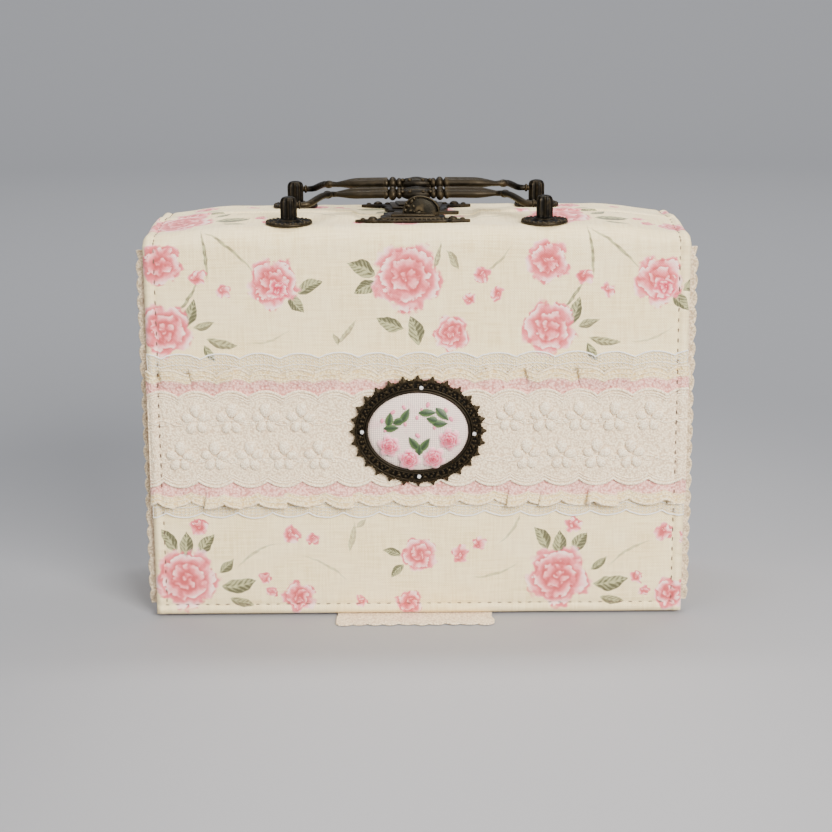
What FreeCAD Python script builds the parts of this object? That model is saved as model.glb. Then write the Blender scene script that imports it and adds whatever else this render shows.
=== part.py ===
import FreeCAD, Part
import math
import os

import Sketcher
from FreeCAD import Placement, Rotation, Vector

# A fabric-covered sewing box. Two padded covers fold down from their bottom edges, and the top flap
# of each lifts at its own fold. Behind each cover two trays ride out, level, on paired arms.
# Frame: +X along the width, -Y the front with the brooch, +Z up, origin at the middle of the underside.
# The rear half is the front half turned half a turn about Z.

DIMENSIONS = {
    # covers and flaps
    "cover_width": 220, "box_depth": 76, "cover_thickness": 5, "cover_bottom": 1.5, "cover_top": 155,
    "flap_bottom": 156, "flap_top": 164, "flap_bend": 7, "flap_split": 0.25,
    # base: bottom board, two side boards and their crochet edging
    "bottom_width": 216, "bottom_depth": 65, "board_thickness": 4, "board_corner": 3,
    "side_inner": 105, "side_thickness": 3, "side_depth": 65.4, "side_top": 153,
    "edging_reach": 112.5, "edging_thickness": 1.5, "edging_bottom": 6, "edging_top": 151,
    # fabric hinge straps under the covers
    "strap_width": 65, "strap_thickness": 0.6, "strap_reach": 50,
    # lace on the covers
    "lace_bottom": 58.7, "lace_top": 96.8, "lace_thickness": 1.2,
    "trim_height": 11, "trim_thickness": 1, "trim_gap": 0.3,
    "net_height": 5.4, "net_thickness": 0.5,
    # brooch
    "brooch_height": 81, "brooch_half_width": 27, "brooch_half_height": 22, "brooch_back": 1.2,
    "brooch_rim": 1.3, "stone_half_width": 20.5, "stone_half_height": 16.5, "stone_rise": 3.4,
    "rose_radius": 3.4, "rose_thickness": 2, "rose_drop": 8.5, "rose_spread": 8,
    # trays: three levels, the lowest fixed
    "tray_length": 200, "tray_wall": 1.5, "fixed_tray_depth": 64, "fixed_tray_top": 52,
    "divider_place": 30, "tray_front": 32, "tray_rear": 2, "middle_tray_bottom": 60.5,
    "middle_tray_top": 99, "upper_tray_bottom": 107.5, "upper_tray_top": 147,
    "pad_thickness": 1.2, "pad_clear": 0.5,
    # arms
    "arm_length": 90, "arm_width": 6, "arm_thickness": 1.2, "arm_inner": 101.5, "arm_lean": 6,
    "wall_pivot_height": 28, "outer_pivot": 26.4, "inner_pivot": 14.4, "rivet_radius": 1.2,
    "rivet_head_radius": 2, "rivet_head": 0.7, "head_clearance": 0.1,
    # posts, rosettes and bails
    "post_place": 51.75, "post_row": 24.8, "post_radius": 3.5, "pivot_height": 171.7,
    "rosette_radius": 9.5, "rosette_thickness": 1.6, "rosette_dish": 0.9, "shank_radius": 1.5,
    "nut_radius": 4, "nut_bottom": 152.5, "pin_radius": 1.1, "pin_outer": 50.5,
    "pin_inner": 42, "bar_half_length": 34, "bail_reach": 20.8, "bar_half_height": 3.4,
    "bar_half_thickness": 2, "collar_step": 0.3, "collar_thickness": 1.2, "arm_end_radius": 1.5,
    "front_bail_rise": 4, "rear_bail_rise": 12, "running_clearance": 0.05,
    # clasp
    "plate_width": 47, "plate_depth": 24, "plate_split": 1, "plate_thickness": 1.2,
    "raised_width": 22, "raised_depth": 11, "raised_height": 0.8, "knob_row": 15,
    "stem_radius": 1.2, "knob_base_radius": 3, "knob_base": 0.8, "paddle_height": 6.6,
    "paddle_length": 13, "paddle_thickness": 3, "latch_length": 17.4, "latch_width": 4,
    "latch_thickness": 1.2, "latch_clearance": 0.2, "keeper_width": 12, "keeper_edge": 0.6,
    "keeper_riser": 3.8, "keeper_back": 5.4, "keeper_lift": 3.8, "keeper_thickness": 1.2,
}

doc = FreeCAD.newDocument("SewingBox")
sheet = doc.addObject("Spreadsheet::Sheet", "Dims")
for row, (alias, number) in enumerate(DIMENSIONS.items(), start=1):
    sheet.set(f"A{row}", alias)
    sheet.set(f"B{row}", str(number))
    sheet.setAlias(f"B{row}", alias)
doc.recompute()


class Term:
    """A size worked out from the sheet's cells: its expression, and its value now."""

    def __init__(self, text, value):
        self.text = text
        self.value = value

    def join(self, sign, other, value):
        return Term(f"({self.text} {sign} {term(other).text})", value)

    def __add__(self, other):
        return self.join("+", other, self.value + term(other).value)

    def __sub__(self, other):
        return self.join("-", other, self.value - term(other).value)

    def __mul__(self, other):
        return self.join("*", other, self.value * term(other).value)

    def __truediv__(self, other):
        return self.join("/", other, self.value / term(other).value)

    def __neg__(self):
        return term(0) - self


def term(number):
    """A plain number as a Term."""
    return number if isinstance(number, Term) else Term(f"{number:g}", float(number))


class Cells:
    """The sheet's cells by name."""

    def __getattr__(self, alias):
        return Term(f"Dims.{alias}", float(sheet.get(alias)))


D = Cells()
nodes = []


def bind(thing, **sizes):
    """Bind properties of an object to the sheet. A double underscore stands for a dot."""
    for name, value in sizes.items():
        thing.setExpression(name.replace("__", "."), term(value).text)
    return thing


def box(x, y, z):
    """A block between two places along each axis."""
    thing = doc.addObject("Part::Box", "Block")
    bind(thing, Length=x[1] - x[0], Width=y[1] - y[0], Height=z[1] - z[0])
    return bind(thing, Placement__Base__x=x[0], Placement__Base__y=y[0], Placement__Base__z=z[0])


def round_bar(radius, length, x, y, z, axis="Z"):
    """A cylinder from a point, along an axis."""
    thing = doc.addObject("Part::Cylinder", "Round")
    bind(thing, Radius=radius, Height=length)
    thing.Placement.Rotation = {
        "X": Rotation(Vector(0, 1, 0), 90),
        "Y": Rotation(Vector(1, 0, 0), -90),
        "Z": Rotation(),
    }[axis]
    return bind(thing, Placement__Base__x=x, Placement__Base__y=y, Placement__Base__z=z)


def fused(*things):
    """Several objects as one solid."""
    thing = doc.addObject("Part::MultiFuse", "Joined")
    thing.Shapes = list(things)
    return thing


def cut(base, tool):
    """One object less another."""
    thing = doc.addObject("Part::Cut", "Cut")
    thing.Base = base
    thing.Tool = tool
    return thing


def softened(base, radius, picks):
    """Round the edges of an object that a test picks out."""
    doc.recompute()
    edges = [n for n, edge in enumerate(base.Shape.Edges, start=1) if picks(edge)]
    thing = doc.addObject("Part::Fillet", "Softened")
    thing.Base = base
    thing.Edges = [(n, radius.value, radius.value) for n in edges]
    return thing


def along(axis):
    """A test for straight edges that lie along an axis."""
    return lambda edge: (
        edge.Curve.TypeId == "Part::GeomLine" and abs(edge.Curve.Direction.dot(axis)) > 0.999
    )


def node(thing, label):
    """Name a sub-part and keep it for writing."""
    thing.Label = label
    nodes.append(thing)
    return thing


def polygon(sketch, points):
    """A closed outline whose corners are all tied to the sheet."""
    ends = [Vector(x.value, y.value, 0) for x, y in points]
    for start, end in zip(ends, ends[1:] + ends[:1]):
        sketch.addGeometry(Part.LineSegment(start, end))
    count = len(points)
    for n, (x, y) in enumerate(points):
        sketch.addConstraint(Sketcher.Constraint("Coincident", n, 2, (n + 1) % count, 1))
        for kind, place in (("DistanceX", x), ("DistanceY", y)):
            if place.value:
                at = sketch.addConstraint(Sketcher.Constraint(kind, -1, 1, n, 1, place.value))
                sketch.setExpression(f"Constraints[{at}]", place.text)
            else:
                axis = -2 if kind == "DistanceX" else -1
                sketch.addConstraint(Sketcher.Constraint("PointOnObject", n, 1, axis))


def sketched(body, plane, name):
    """A new sketch on one of a body's own origin planes."""
    sketch = body.newObject("Sketcher::SketchObject", name)
    role = next(f for f in body.Origin.OriginFeatures if f.Role == plane)
    sketch.AttachmentSupport = [(role, "")]
    sketch.MapMode = "FlatFace"
    return sketch


def padded_outline(points, thickness, z):
    """A flat plate of a given outline, its underside at a height."""
    body = doc.addObject("PartDesign::Body", "Plate")
    sketch = sketched(body, "XY_Plane", "Outline")
    polygon(sketch, points)
    pad = body.newObject("PartDesign::Pad", "Pad")
    pad.Profile = sketch
    bind(pad, Length=thickness)
    bind(body, Placement__Base__z=z)
    return body


def spun(points, x, y, z):
    """A turned piece: a profile of radius and height, spun about an upright axis."""
    body = doc.addObject("PartDesign::Body", "Turned")
    sketch = sketched(body, "XZ_Plane", "Profile")
    polygon(sketch, points)
    spin = body.newObject("PartDesign::Revolution", "Spin")
    spin.Profile = sketch
    spin.ReferenceAxis = (sketch, ["V_Axis"])
    spin.Angle = 360
    return bind(body, Placement__Base__x=x, Placement__Base__y=y, Placement__Base__z=z)


class Half:
    """The front or rear half. Depths are distances from the middle plane towards its outer face."""

    def __init__(self, name, sign):
        self.name = name
        self.sign = sign

    def y(self, depth):
        return term(depth) * self.sign

    def span(self, near, far):
        ends = (self.y(near), self.y(far))
        return tuple(sorted(ends, key=lambda end: end.value))


HALVES = (Half("front", -1), Half("rear", 1))
HANDS = (("left", -1), ("right", 1))


def centred(width):
    """The two ends of a width centred on the middle."""
    return (-(width / 2), width / 2)


def bottom_board():
    half_depth = centred(D.bottom_depth)
    board = box(centred(D.bottom_width), half_depth, (term(0), D.board_thickness))
    node(softened(board, D.board_corner, along(Vector(0, 0, 1))), "bottom_board")


def side_board(hand, sign):
    inner = D.side_inner * sign
    outer = (D.side_inner + D.side_thickness) * sign
    x = tuple(sorted((inner, outer), key=lambda end: end.value))
    board = box(x, centred(D.side_depth), (D.board_thickness, D.side_top))
    node(board, f"side_board_{hand}")


def side_edging(hand, sign):
    """Crochet edging that stands out beyond the covers, along both upright edges of a side board."""
    ends = ((D.side_inner + D.side_thickness) * sign, D.edging_reach * sign)
    x = tuple(sorted(ends, key=lambda end: end.value))
    edge = D.side_depth / 2
    strips = [
        box(x, half.span(edge - D.edging_thickness, edge), (D.edging_bottom, D.edging_top))
        for half in HALVES
    ]
    node(fused(*strips), f"side_edging_{hand}")


def hinge_strap(half):
    """The fabric strap under the hem that hinges a cover to the bottom board."""
    y = half.span(D.bottom_depth / 2, D.strap_reach)
    node(box(centred(D.strap_width), y, (term(0), D.strap_thickness)), f"{half.name}_hinge_strap")


def fixed_tray():
    """The lowest tray, fixed to the bottom board, with one divider."""
    depth = centred(D.fixed_tray_depth)
    length = centred(D.tray_length)
    shell = box(length, depth, (D.board_thickness, D.fixed_tray_top))
    inner_y = centred(D.fixed_tray_depth - D.tray_wall * 2)
    inner_z = (D.board_thickness + D.tray_wall, D.fixed_tray_top + 1)
    rooms = (
        (length[0] + D.tray_wall, D.divider_place - D.tray_wall / 2),
        (D.divider_place + D.tray_wall / 2, length[1] - D.tray_wall),
    )
    for room in rooms:
        shell = cut(shell, box(room, inner_y, inner_z))
    node(shell, "fixed_tray")
    pad_x = (rooms[0][0] + D.pad_clear, rooms[0][1] - D.pad_clear)
    pad_y = centred(D.fixed_tray_depth - D.tray_wall * 2 - D.pad_clear * 2)
    pad_z = (inner_z[0], inner_z[0] + D.pad_thickness)
    node(box(pad_x, pad_y, pad_z), "fixed_tray_pad")


def rivet(x, sign, y, z, reach):
    """A headed rivet that stands out from a face at x and holds an arm."""
    step = D.arm_thickness + D.head_clearance + reach
    start = x if sign > 0 else x - step
    shank = round_bar(D.rivet_radius, step, start, y, z, "X")
    head_start = x + step if sign > 0 else x - step - D.rivet_head
    head = round_bar(D.rivet_head_radius, D.rivet_head, head_start, y, z, "X")
    return fused(shank, head)


def wall_rivets(hand, sign):
    """The four rivets in a side board that the arms turn on."""
    reach = D.side_inner - D.arm_inner - D.arm_thickness
    rivets = [
        rivet(D.side_inner * sign, -sign, half.y(place), D.wall_pivot_height, reach)
        for half in HALVES
        for place in (D.outer_pivot, D.inner_pivot)
    ]
    node(fused(*rivets), f"wall_rivets_{hand}")


def arm(half, pair, place, hand, sign):
    """One flat arm with three pivot holes, leaning a little towards the middle plane."""
    body = doc.addObject("PartDesign::Body", "Arm")
    sketch = sketched(body, "YZ_Plane", "Outline")
    length = D.arm_length
    radius = D.arm_width / 2
    r = radius.value
    ends = (Vector(0, 0, 0), Vector(0, length.value, 0))
    up = Vector(0, 0, 1)
    sketch.addGeometry(Part.ArcOfCircle(Part.Circle(ends[0], up, r), math.pi, 2 * math.pi))
    sketch.addGeometry(Part.LineSegment(Vector(r, 0, 0), Vector(r, length.value, 0)))
    sketch.addGeometry(Part.ArcOfCircle(Part.Circle(ends[1], up, r), 0, math.pi))
    sketch.addGeometry(Part.LineSegment(Vector(-r, length.value, 0), Vector(-r, 0, 0)))
    for first, first_end, second, second_end in ((0, 2, 1, 1), (1, 2, 2, 1), (2, 2, 3, 1), (3, 2, 0, 1)):
        sketch.addConstraint(
            Sketcher.Constraint("Tangent", first, first_end, second, second_end)
        )
    sketch.addConstraint(Sketcher.Constraint("Coincident", 0, 3, -1, 1))
    sketch.addConstraint(Sketcher.Constraint("PointOnObject", 2, 3, -2))
    at = sketch.addConstraint(Sketcher.Constraint("DistanceY", -1, 1, 2, 3, length.value))
    sketch.setExpression(f"Constraints[{at}]", length.text)
    at = sketch.addConstraint(Sketcher.Constraint("Radius", 0, r))
    sketch.setExpression(f"Constraints[{at}]", radius.text)
    bore = D.rivet_radius + D.running_clearance
    for step in (term(0), length / 2, length):
        hole = sketch.addGeometry(Part.Circle(Vector(0, step.value, 0), up, bore.value))
        at = sketch.addConstraint(Sketcher.Constraint("Radius", hole, bore.value))
        sketch.setExpression(f"Constraints[{at}]", bore.text)
        if step.value:
            sketch.addConstraint(Sketcher.Constraint("PointOnObject", hole, 3, -2))
            at = sketch.addConstraint(Sketcher.Constraint("DistanceY", -1, 1, hole, 3, step.value))
            sketch.setExpression(f"Constraints[{at}]", step.text)
        else:
            sketch.addConstraint(Sketcher.Constraint("Coincident", hole, 3, -1, 1))
    pad = body.newObject("PartDesign::Pad", "Pad")
    pad.Profile = sketch
    bind(pad, Length=D.arm_thickness)
    x = D.arm_inner if sign > 0 else -D.arm_inner - D.arm_thickness
    body.Placement.Rotation = Rotation(Vector(1, 0, 0), 10)
    bind(body, Placement__Rotation__Angle=D.arm_lean * half.sign)
    bind(body, Placement__Base__x=x, Placement__Base__y=half.y(place))
    bind(body, Placement__Base__z=D.wall_pivot_height)
    node(body, f"{half.name}_{pair}_arm_{hand}")


def swing_tray(half, level, bottom, top, share):
    """A tray that the arms carry, with its two pairs of rivets and its pad."""
    length = centred(D.tray_length)
    y = half.span(D.tray_rear, D.tray_front)
    shell = box(length, y, (bottom, top))
    hollow_x = (length[0] + D.tray_wall, length[1] - D.tray_wall)
    hollow_y = (y[0] + D.tray_wall, y[1] - D.tray_wall)
    hollow = box(hollow_x, hollow_y, (bottom + D.tray_wall, top + 1))
    node(cut(shell, hollow), f"{half.name}_{level}_tray")
    pad_x = (hollow_x[0] + D.pad_clear, hollow_x[1] - D.pad_clear)
    pad_y = (hollow_y[0] + D.pad_clear, hollow_y[1] - D.pad_clear)
    floor = bottom + D.tray_wall
    node(box(pad_x, pad_y, (floor, floor + D.pad_thickness)), f"{half.name}_{level}_tray_pad")
    lean = math.radians(D.arm_lean.value)
    run = D.arm_length * share
    y_shift = run * math.sin(lean)
    z = D.wall_pivot_height + run * math.cos(lean)
    reach = D.arm_inner - D.tray_length / 2
    rivets = [
        rivet(D.tray_length / 2 * sign, sign, half.y(place - y_shift), z, reach)
        for _, sign in HANDS
        for place in (D.outer_pivot, D.inner_pivot)
    ]
    node(fused(*rivets), f"{half.name}_{level}_tray_rivets")


def cover(half):
    """The padded panel of one cover. Its hem is a full round about the hinge line."""
    radius = D.cover_thickness / 2
    face = D.box_depth / 2
    axis_z = D.cover_bottom + radius
    x = centred(D.cover_width)
    slab = box(x, half.span(face - D.cover_thickness, face), (axis_z, D.cover_top))
    hem = round_bar(radius, D.cover_width, x[0], half.y(face - radius), axis_z, "X")
    node(fused(slab, hem), f"{half.name}_cover")


def band(half, label, near, thickness, *heights):
    """Flat lace across a cover, one strip for each pair of heights."""
    face = D.box_depth / 2 + near
    strips = [
        box(centred(D.cover_width), half.span(face, face + thickness), height) for height in heights
    ]
    node(fused(*strips) if len(strips) > 1 else strips[0], f"{half.name}_{label}")


def cover_lace(half):
    """The wide flowered lace, the scalloped crochet beside it and the net lace outside that."""
    band(half, "flower_lace", 0, D.lace_thickness, (D.lace_bottom, D.lace_top))
    low = D.lace_bottom - D.trim_gap
    high = D.lace_top + D.trim_gap
    trims = ((low - D.trim_height, low), (high, high + D.trim_height))
    band(half, "crochet_trim", 0, D.trim_thickness, *trims)
    low = trims[0][0] - D.trim_gap
    high = trims[1][1] + D.trim_gap
    nets = ((low - D.net_height, low), (high, high + D.net_height))
    band(half, "net_lace", 0, D.net_thickness, *nets)


def oval(radius_x, radius_z, depth, y):
    """An upright oval plate facing the front, its back at y."""
    edge = Part.Ellipse(Vector(), radius_x.value, radius_z.value).toShape()
    plate = Part.Face(Part.Wire([edge])).extrude(Vector(0, 0, depth.value))
    plate.rotate(Vector(), Vector(1, 0, 0), 90)
    plate.translate(Vector(0, y.value, D.brooch_height.value))
    return plate


def brooch():
    """Pierced frame with a raised rim, a domed woven stone, and a spray of ribbon roses."""
    back = -(D.box_depth / 2 + D.lace_thickness)
    frame = oval(D.brooch_half_width, D.brooch_half_height, D.brooch_back, back)
    rim_outer = oval(
        D.stone_half_width + D.brooch_rim, D.stone_half_height + D.brooch_rim,
        D.brooch_back + D.brooch_rim, back,
    )
    bed = oval(D.stone_half_width, D.stone_half_height, D.brooch_rim * 2, back - D.brooch_back)
    thing = doc.addObject("Part::Feature", "Frame")
    thing.Shape = frame.fuse(rim_outer).cut(bed)
    node(thing, "brooch_frame")

    # the dome is a cap of a ball, stretched to the oval
    width = D.stone_half_width.value - D.running_clearance.value
    rise = D.stone_rise.value
    ball = (width**2 + rise**2) / (2 * rise)
    cap = Part.makeSphere(ball, Vector(0, 0, rise - ball), Vector(0, 0, 1), -90, 90, 360)
    cap = cap.common(Part.makeCylinder(width, rise))
    shape = FreeCAD.Matrix()
    shape.scale(1, (D.stone_half_height.value - D.running_clearance.value) / width, 1)
    cap = cap.transformGeometry(shape)
    cap.rotate(Vector(), Vector(1, 0, 0), 90)
    cap.translate(Vector(0, (back - D.brooch_back).value, D.brooch_height.value))
    thing = doc.addObject("Part::Feature", "Stone")
    thing.Shape = cap
    node(thing, "brooch_stone")

    front = back - D.brooch_back - D.stone_rise
    roses = [
        round_bar(
            D.rose_radius, D.rose_thickness, D.rose_spread * place, front - D.rose_thickness,
            D.brooch_height - D.rose_drop + D.rose_drop * (0.3 * abs(place) ** 2 / 2), "Y",
        )
        for place in (-1.5, -0.5, 0.5, 1.5)
    ]
    node(fused(*roses), "brooch_roses")


def flap(half):
    """The padded top flap, with holes for the two post shanks."""
    slab = box(
        centred(D.cover_width), half.span(D.flap_split, D.box_depth / 2),
        (D.flap_bottom, D.flap_top),
    )
    outer = half.y(D.box_depth / 2).value
    top = D.flap_top.value
    bend = softened(
        slab, D.flap_bend,
        lambda edge: along(Vector(1, 0, 0))(edge)
        and abs(edge.CenterOfMass.y - outer) < 0.01
        and abs(edge.CenterOfMass.z - top) < 0.01,
    )
    for _, sign in HANDS:
        hole = round_bar(
            D.shank_radius + D.running_clearance, D.flap_top - D.flap_bottom + 2,
            D.post_place * sign, half.y(D.post_row), D.flap_bottom - 1,
        )
        bend = cut(bend, hole)
    node(bend, f"{half.name}_flap")


def rosette(half, hand, sign):
    """A dished washer with a raised rim and hub under a post."""
    bore = D.shank_radius + D.running_clearance
    edge = D.rosette_radius
    thick = D.rosette_thickness
    profile = (
        (bore, term(0)), (edge, term(0)), (edge, thick * 0.6), (edge * 0.94, thick),
        (edge * 0.82, thick), (edge * 0.74, D.rosette_dish), (edge * 0.45, D.rosette_dish),
        (edge * 0.38, thick), (bore, thick),
    )
    turned = spun(profile, D.post_place * sign, half.y(D.post_row), D.flap_top)
    node(turned, f"{half.name}_rosette_{hand}")


def post(half, hand, sign):
    """A domed post with a shank through the flap and a blind bore for the bail's pin."""
    x = D.post_place * sign
    y = half.y(D.post_row)
    seat = D.flap_top + D.rosette_thickness
    column = round_bar(D.post_radius, D.pivot_height - seat, x, y, seat)
    dome = doc.addObject("Part::Sphere", "Dome")
    bind(dome, Radius=D.post_radius)
    bind(dome, Placement__Base__x=x, Placement__Base__y=y, Placement__Base__z=D.pivot_height)
    shank = round_bar(D.shank_radius, seat - D.nut_bottom, x, y, D.nut_bottom)
    depth = D.pin_outer + D.head_clearance
    mouth = D.post_place - D.post_radius - 1
    start = mouth if sign > 0 else -depth
    bore = round_bar(
        D.pin_radius + D.running_clearance, depth - mouth, start, y, D.pivot_height, "X"
    )
    node(cut(fused(column, dome, shank), bore), f"{half.name}_post_{hand}")


def nuts(half):
    """The round nuts under the flap that hold the posts."""
    rings = []
    for _, sign in HANDS:
        place = (D.post_place * sign, half.y(D.post_row))
        ring = round_bar(D.nut_radius, D.flap_bottom - D.nut_bottom, *place, D.nut_bottom)
        hole = round_bar(
            D.shank_radius + D.running_clearance, D.flap_bottom - D.nut_bottom + 2, *place,
            D.nut_bottom - 1,
        )
        rings.append(cut(ring, hole))
    node(fused(*rings), f"{half.name}_post_nuts")


def bail(half, rise):
    """A swinging pull: pins in the posts, slanted arms and a thick bar that swells to the middle."""
    reach = D.bail_reach.value
    high = D.bar_half_height.value
    thick = D.bar_half_thickness.value
    end = D.bar_half_length.value
    collar = D.collar_step.value

    def ring(x, half_height, half_thickness):
        edge = Part.Ellipse(Vector(), half_height, half_thickness).toShape()
        wire = Part.Wire([edge])
        wire.rotate(Vector(), Vector(0, 1, 0), 90)
        wire.rotate(Vector(), Vector(1, 0, 0), 90)
        wire.translate(Vector(x, reach, 0))
        return wire

    stations = ((1, 0.42), (0.7, 0.84), (0.4, 1), (0, 1), (-0.4, 1), (-0.7, 0.84), (-1, 0.42))
    rings = [ring(end * place, high * swell, thick * max(swell, 0.7)) for place, swell in stations]
    solid = Part.makeLoft(rings, True)
    width = D.collar_thickness.value
    for place in (-0.38, -0.18, 0.18, 0.38):
        face = Part.Face(ring(end * place - width / 2, high + collar, thick + collar))
        solid = solid.fuse(face.extrude(Vector(width, 0, 0)))
    pin = D.pin_radius.value
    inner = D.pin_inner.value
    outer = D.pin_outer.value
    swell = D.arm_end_radius.value
    for sign in (-1, 1):
        knee = Vector(inner * sign, 0, 0)
        shoulder = Vector(end * sign, reach, 0)
        slope = shoulder - knee
        pieces = (
            Part.makeCylinder(pin, outer - inner, knee, Vector(sign, 0, 0)),
            Part.makeSphere(pin, knee),
            Part.makeCone(pin, swell, slope.Length, knee, slope),
            Part.makeSphere(swell, shoulder),
        )
        for piece in pieces:
            solid = solid.fuse(piece)
    thing = doc.addObject("Part::Feature", "Bail")
    thing.Shape = solid
    tilt = Rotation(Vector(1, 0, 0), rise.value)
    facing = Rotation() if half.sign < 0 else Rotation(Vector(0, 0, 1), 180)
    place = Vector(0, half.y(D.post_row).value, D.pivot_height.value)
    thing.Placement = Placement(place, facing.multiply(tilt))
    node(thing, f"{half.name}_bail")


def clasp_plate(half):
    """An ornamental plate with pointed tips, standing on the flap beside the split."""
    wide = D.plate_width / 2
    deep = D.plate_depth
    near = D.plate_split
    right = (
        (wide * 0.42, term(0)), (wide * 0.62, deep * 0.12), (wide * 0.86, deep * 0.24),
        (wide, deep * 0.42), (wide * 0.72, deep * 0.58), (wide * 0.5, deep * 0.8),
        (wide * 0.26, deep * 0.86),
    )
    outline = [(x, half.y(near + y)) for x, y in right]
    outline.append((term(0), half.y(near + deep)))
    outline += [(-x, half.y(near + y)) for x, y in reversed(right)]
    plate = padded_outline(outline, D.plate_thickness, D.flap_top)
    top = D.flap_top + D.plate_thickness
    if half.name == "front":
        block_y = half.span(D.knob_row - D.raised_depth / 2, D.knob_row + D.raised_depth / 2)
        block = box(centred(D.raised_width), block_y, (top, top + D.raised_height))
        bore = round_bar(
            D.stem_radius + D.running_clearance, D.raised_height + D.plate_thickness, term(0),
            half.y(D.knob_row), D.flap_top + D.plate_thickness / 2,
        )
        node(cut(fused(plate, block), bore), "front_clasp_plate")
        return
    lift = top + D.keeper_lift
    riser_y = half.span(D.keeper_riser, D.keeper_back)
    riser = box(centred(D.keeper_width), riser_y, (top, lift))
    lip_y = half.span(D.keeper_edge, D.keeper_back)
    lip = box(centred(D.keeper_width), lip_y, (lift - D.keeper_thickness, lift))
    node(fused(plate, riser, lip), "rear_clasp_plate")


def turn_knob():
    """The paddle that turns the latch tongue, on a stem in the front plate."""
    half = HALVES[0]
    y = half.y(D.knob_row)
    pad = D.flap_top + D.plate_thickness + D.raised_height
    latch = (pad + D.latch_clearance, pad + D.latch_clearance + D.latch_thickness)
    stem_foot = D.flap_top + D.plate_thickness / 2 + D.head_clearance
    stem = round_bar(D.stem_radius, latch[1] - stem_foot, term(0), y, stem_foot)
    base = round_bar(D.knob_base_radius, D.knob_base, term(0), y, latch[1])
    thick = D.paddle_thickness / 2
    straight = D.paddle_length - D.paddle_thickness
    z = (latch[1], latch[1] + D.paddle_height)
    blade = box(centred(straight), (y - thick, y + thick), z)
    ends = [
        round_bar(thick, D.paddle_height, straight / 2 * sign, y, z[0]) for _, sign in HANDS
    ]
    node(fused(stem, base, blade, *ends), "turn_knob")

    width = D.latch_width / 2
    tongue = box((term(0), D.latch_length - width), (y - width, y + width), latch)
    heel = round_bar(width, D.latch_thickness, term(0), y, latch[0])
    tip = round_bar(width, D.latch_thickness, D.latch_length - width, y, latch[0])
    bore = round_bar(D.stem_radius, D.latch_thickness + 2, term(0), y, latch[0] - 1)
    node(cut(fused(tongue, heel, tip), bore), "latch_tongue")


bottom_board()
fixed_tray()
for hand, sign in HANDS:
    side_board(hand, sign)
    side_edging(hand, sign)
    wall_rivets(hand, sign)
for half in HALVES:
    hinge_strap(half)
    cover(half)
    cover_lace(half)
    flap(half)
    clasp_plate(half)
    nuts(half)
    for hand, sign in HANDS:
        rosette(half, hand, sign)
        post(half, hand, sign)
        arm(half, "outer", D.outer_pivot, hand, sign)
        arm(half, "inner", D.inner_pivot, hand, sign)
    swing_tray(half, "middle", D.middle_tray_bottom, D.middle_tray_top, 0.5)
    swing_tray(half, "upper", D.upper_tray_bottom, D.upper_tray_top, 1)
brooch()
turn_knob()
for half, rise in zip(HALVES, (D.front_bail_rise, D.rear_bail_rise)):
    bail(half, rise)

doc.recompute()
for thing in doc.Objects:
    if {"Invalid", "Error"} & set(thing.State):
        raise RuntimeError(f"{thing.Label} ({thing.Name}) is {thing.State}")
for thing in nodes:
    if thing.Shape.isNull() or not thing.Shape.isValid() or thing.Shape.Volume <= 0:
        raise RuntimeError(f"{thing.Label} has no valid shape")
os.makedirs("parts", exist_ok=True)
for thing in nodes:
    thing.Shape.exportStep(f"parts/{thing.Label}.step")
print(f"{len(nodes)} sub-parts written")
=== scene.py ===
import math
import random

import bpy
from mathutils import Matrix, Vector, noise


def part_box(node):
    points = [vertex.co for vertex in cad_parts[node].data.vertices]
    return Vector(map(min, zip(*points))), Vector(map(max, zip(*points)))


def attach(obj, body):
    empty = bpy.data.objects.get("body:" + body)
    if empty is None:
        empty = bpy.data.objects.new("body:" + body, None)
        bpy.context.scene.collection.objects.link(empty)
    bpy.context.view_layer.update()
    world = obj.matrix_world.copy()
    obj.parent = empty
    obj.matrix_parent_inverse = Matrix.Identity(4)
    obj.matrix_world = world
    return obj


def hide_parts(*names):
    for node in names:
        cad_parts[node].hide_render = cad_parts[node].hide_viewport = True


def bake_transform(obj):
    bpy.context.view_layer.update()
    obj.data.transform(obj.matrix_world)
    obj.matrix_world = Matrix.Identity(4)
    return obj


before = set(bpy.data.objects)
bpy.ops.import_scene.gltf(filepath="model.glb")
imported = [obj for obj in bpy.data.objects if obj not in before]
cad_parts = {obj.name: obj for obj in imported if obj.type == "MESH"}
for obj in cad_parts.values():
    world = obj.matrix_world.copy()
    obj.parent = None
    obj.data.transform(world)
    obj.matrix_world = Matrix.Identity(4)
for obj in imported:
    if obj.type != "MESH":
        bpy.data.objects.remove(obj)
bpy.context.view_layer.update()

# A fabric-covered sewing box. Shapes are worked out in millimetres and stored in metres.
# The front half looks along -Y. Depths are measured from the middle plane towards each outer face.

MM = 0.001
TAU = 2 * math.pi


def box_mm(node):
    """A node's lowest and highest corners in millimetres."""
    low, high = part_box(node)
    return Vector(low) / MM, Vector(high) / MM


COVER_LOW, COVER_HIGH = box_mm("front_cover")
FLAP_LOW, FLAP_HIGH = box_mm("front_flap")
SIDE_HIGH = box_mm("side_board_right")[1]
LACE_LOW, LACE_HIGH = box_mm("front_flower_lace")
STONE_LOW, STONE_HIGH = box_mm("brooch_stone")
BROOCH_LOW, BROOCH_HIGH = box_mm("brooch_frame")

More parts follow.
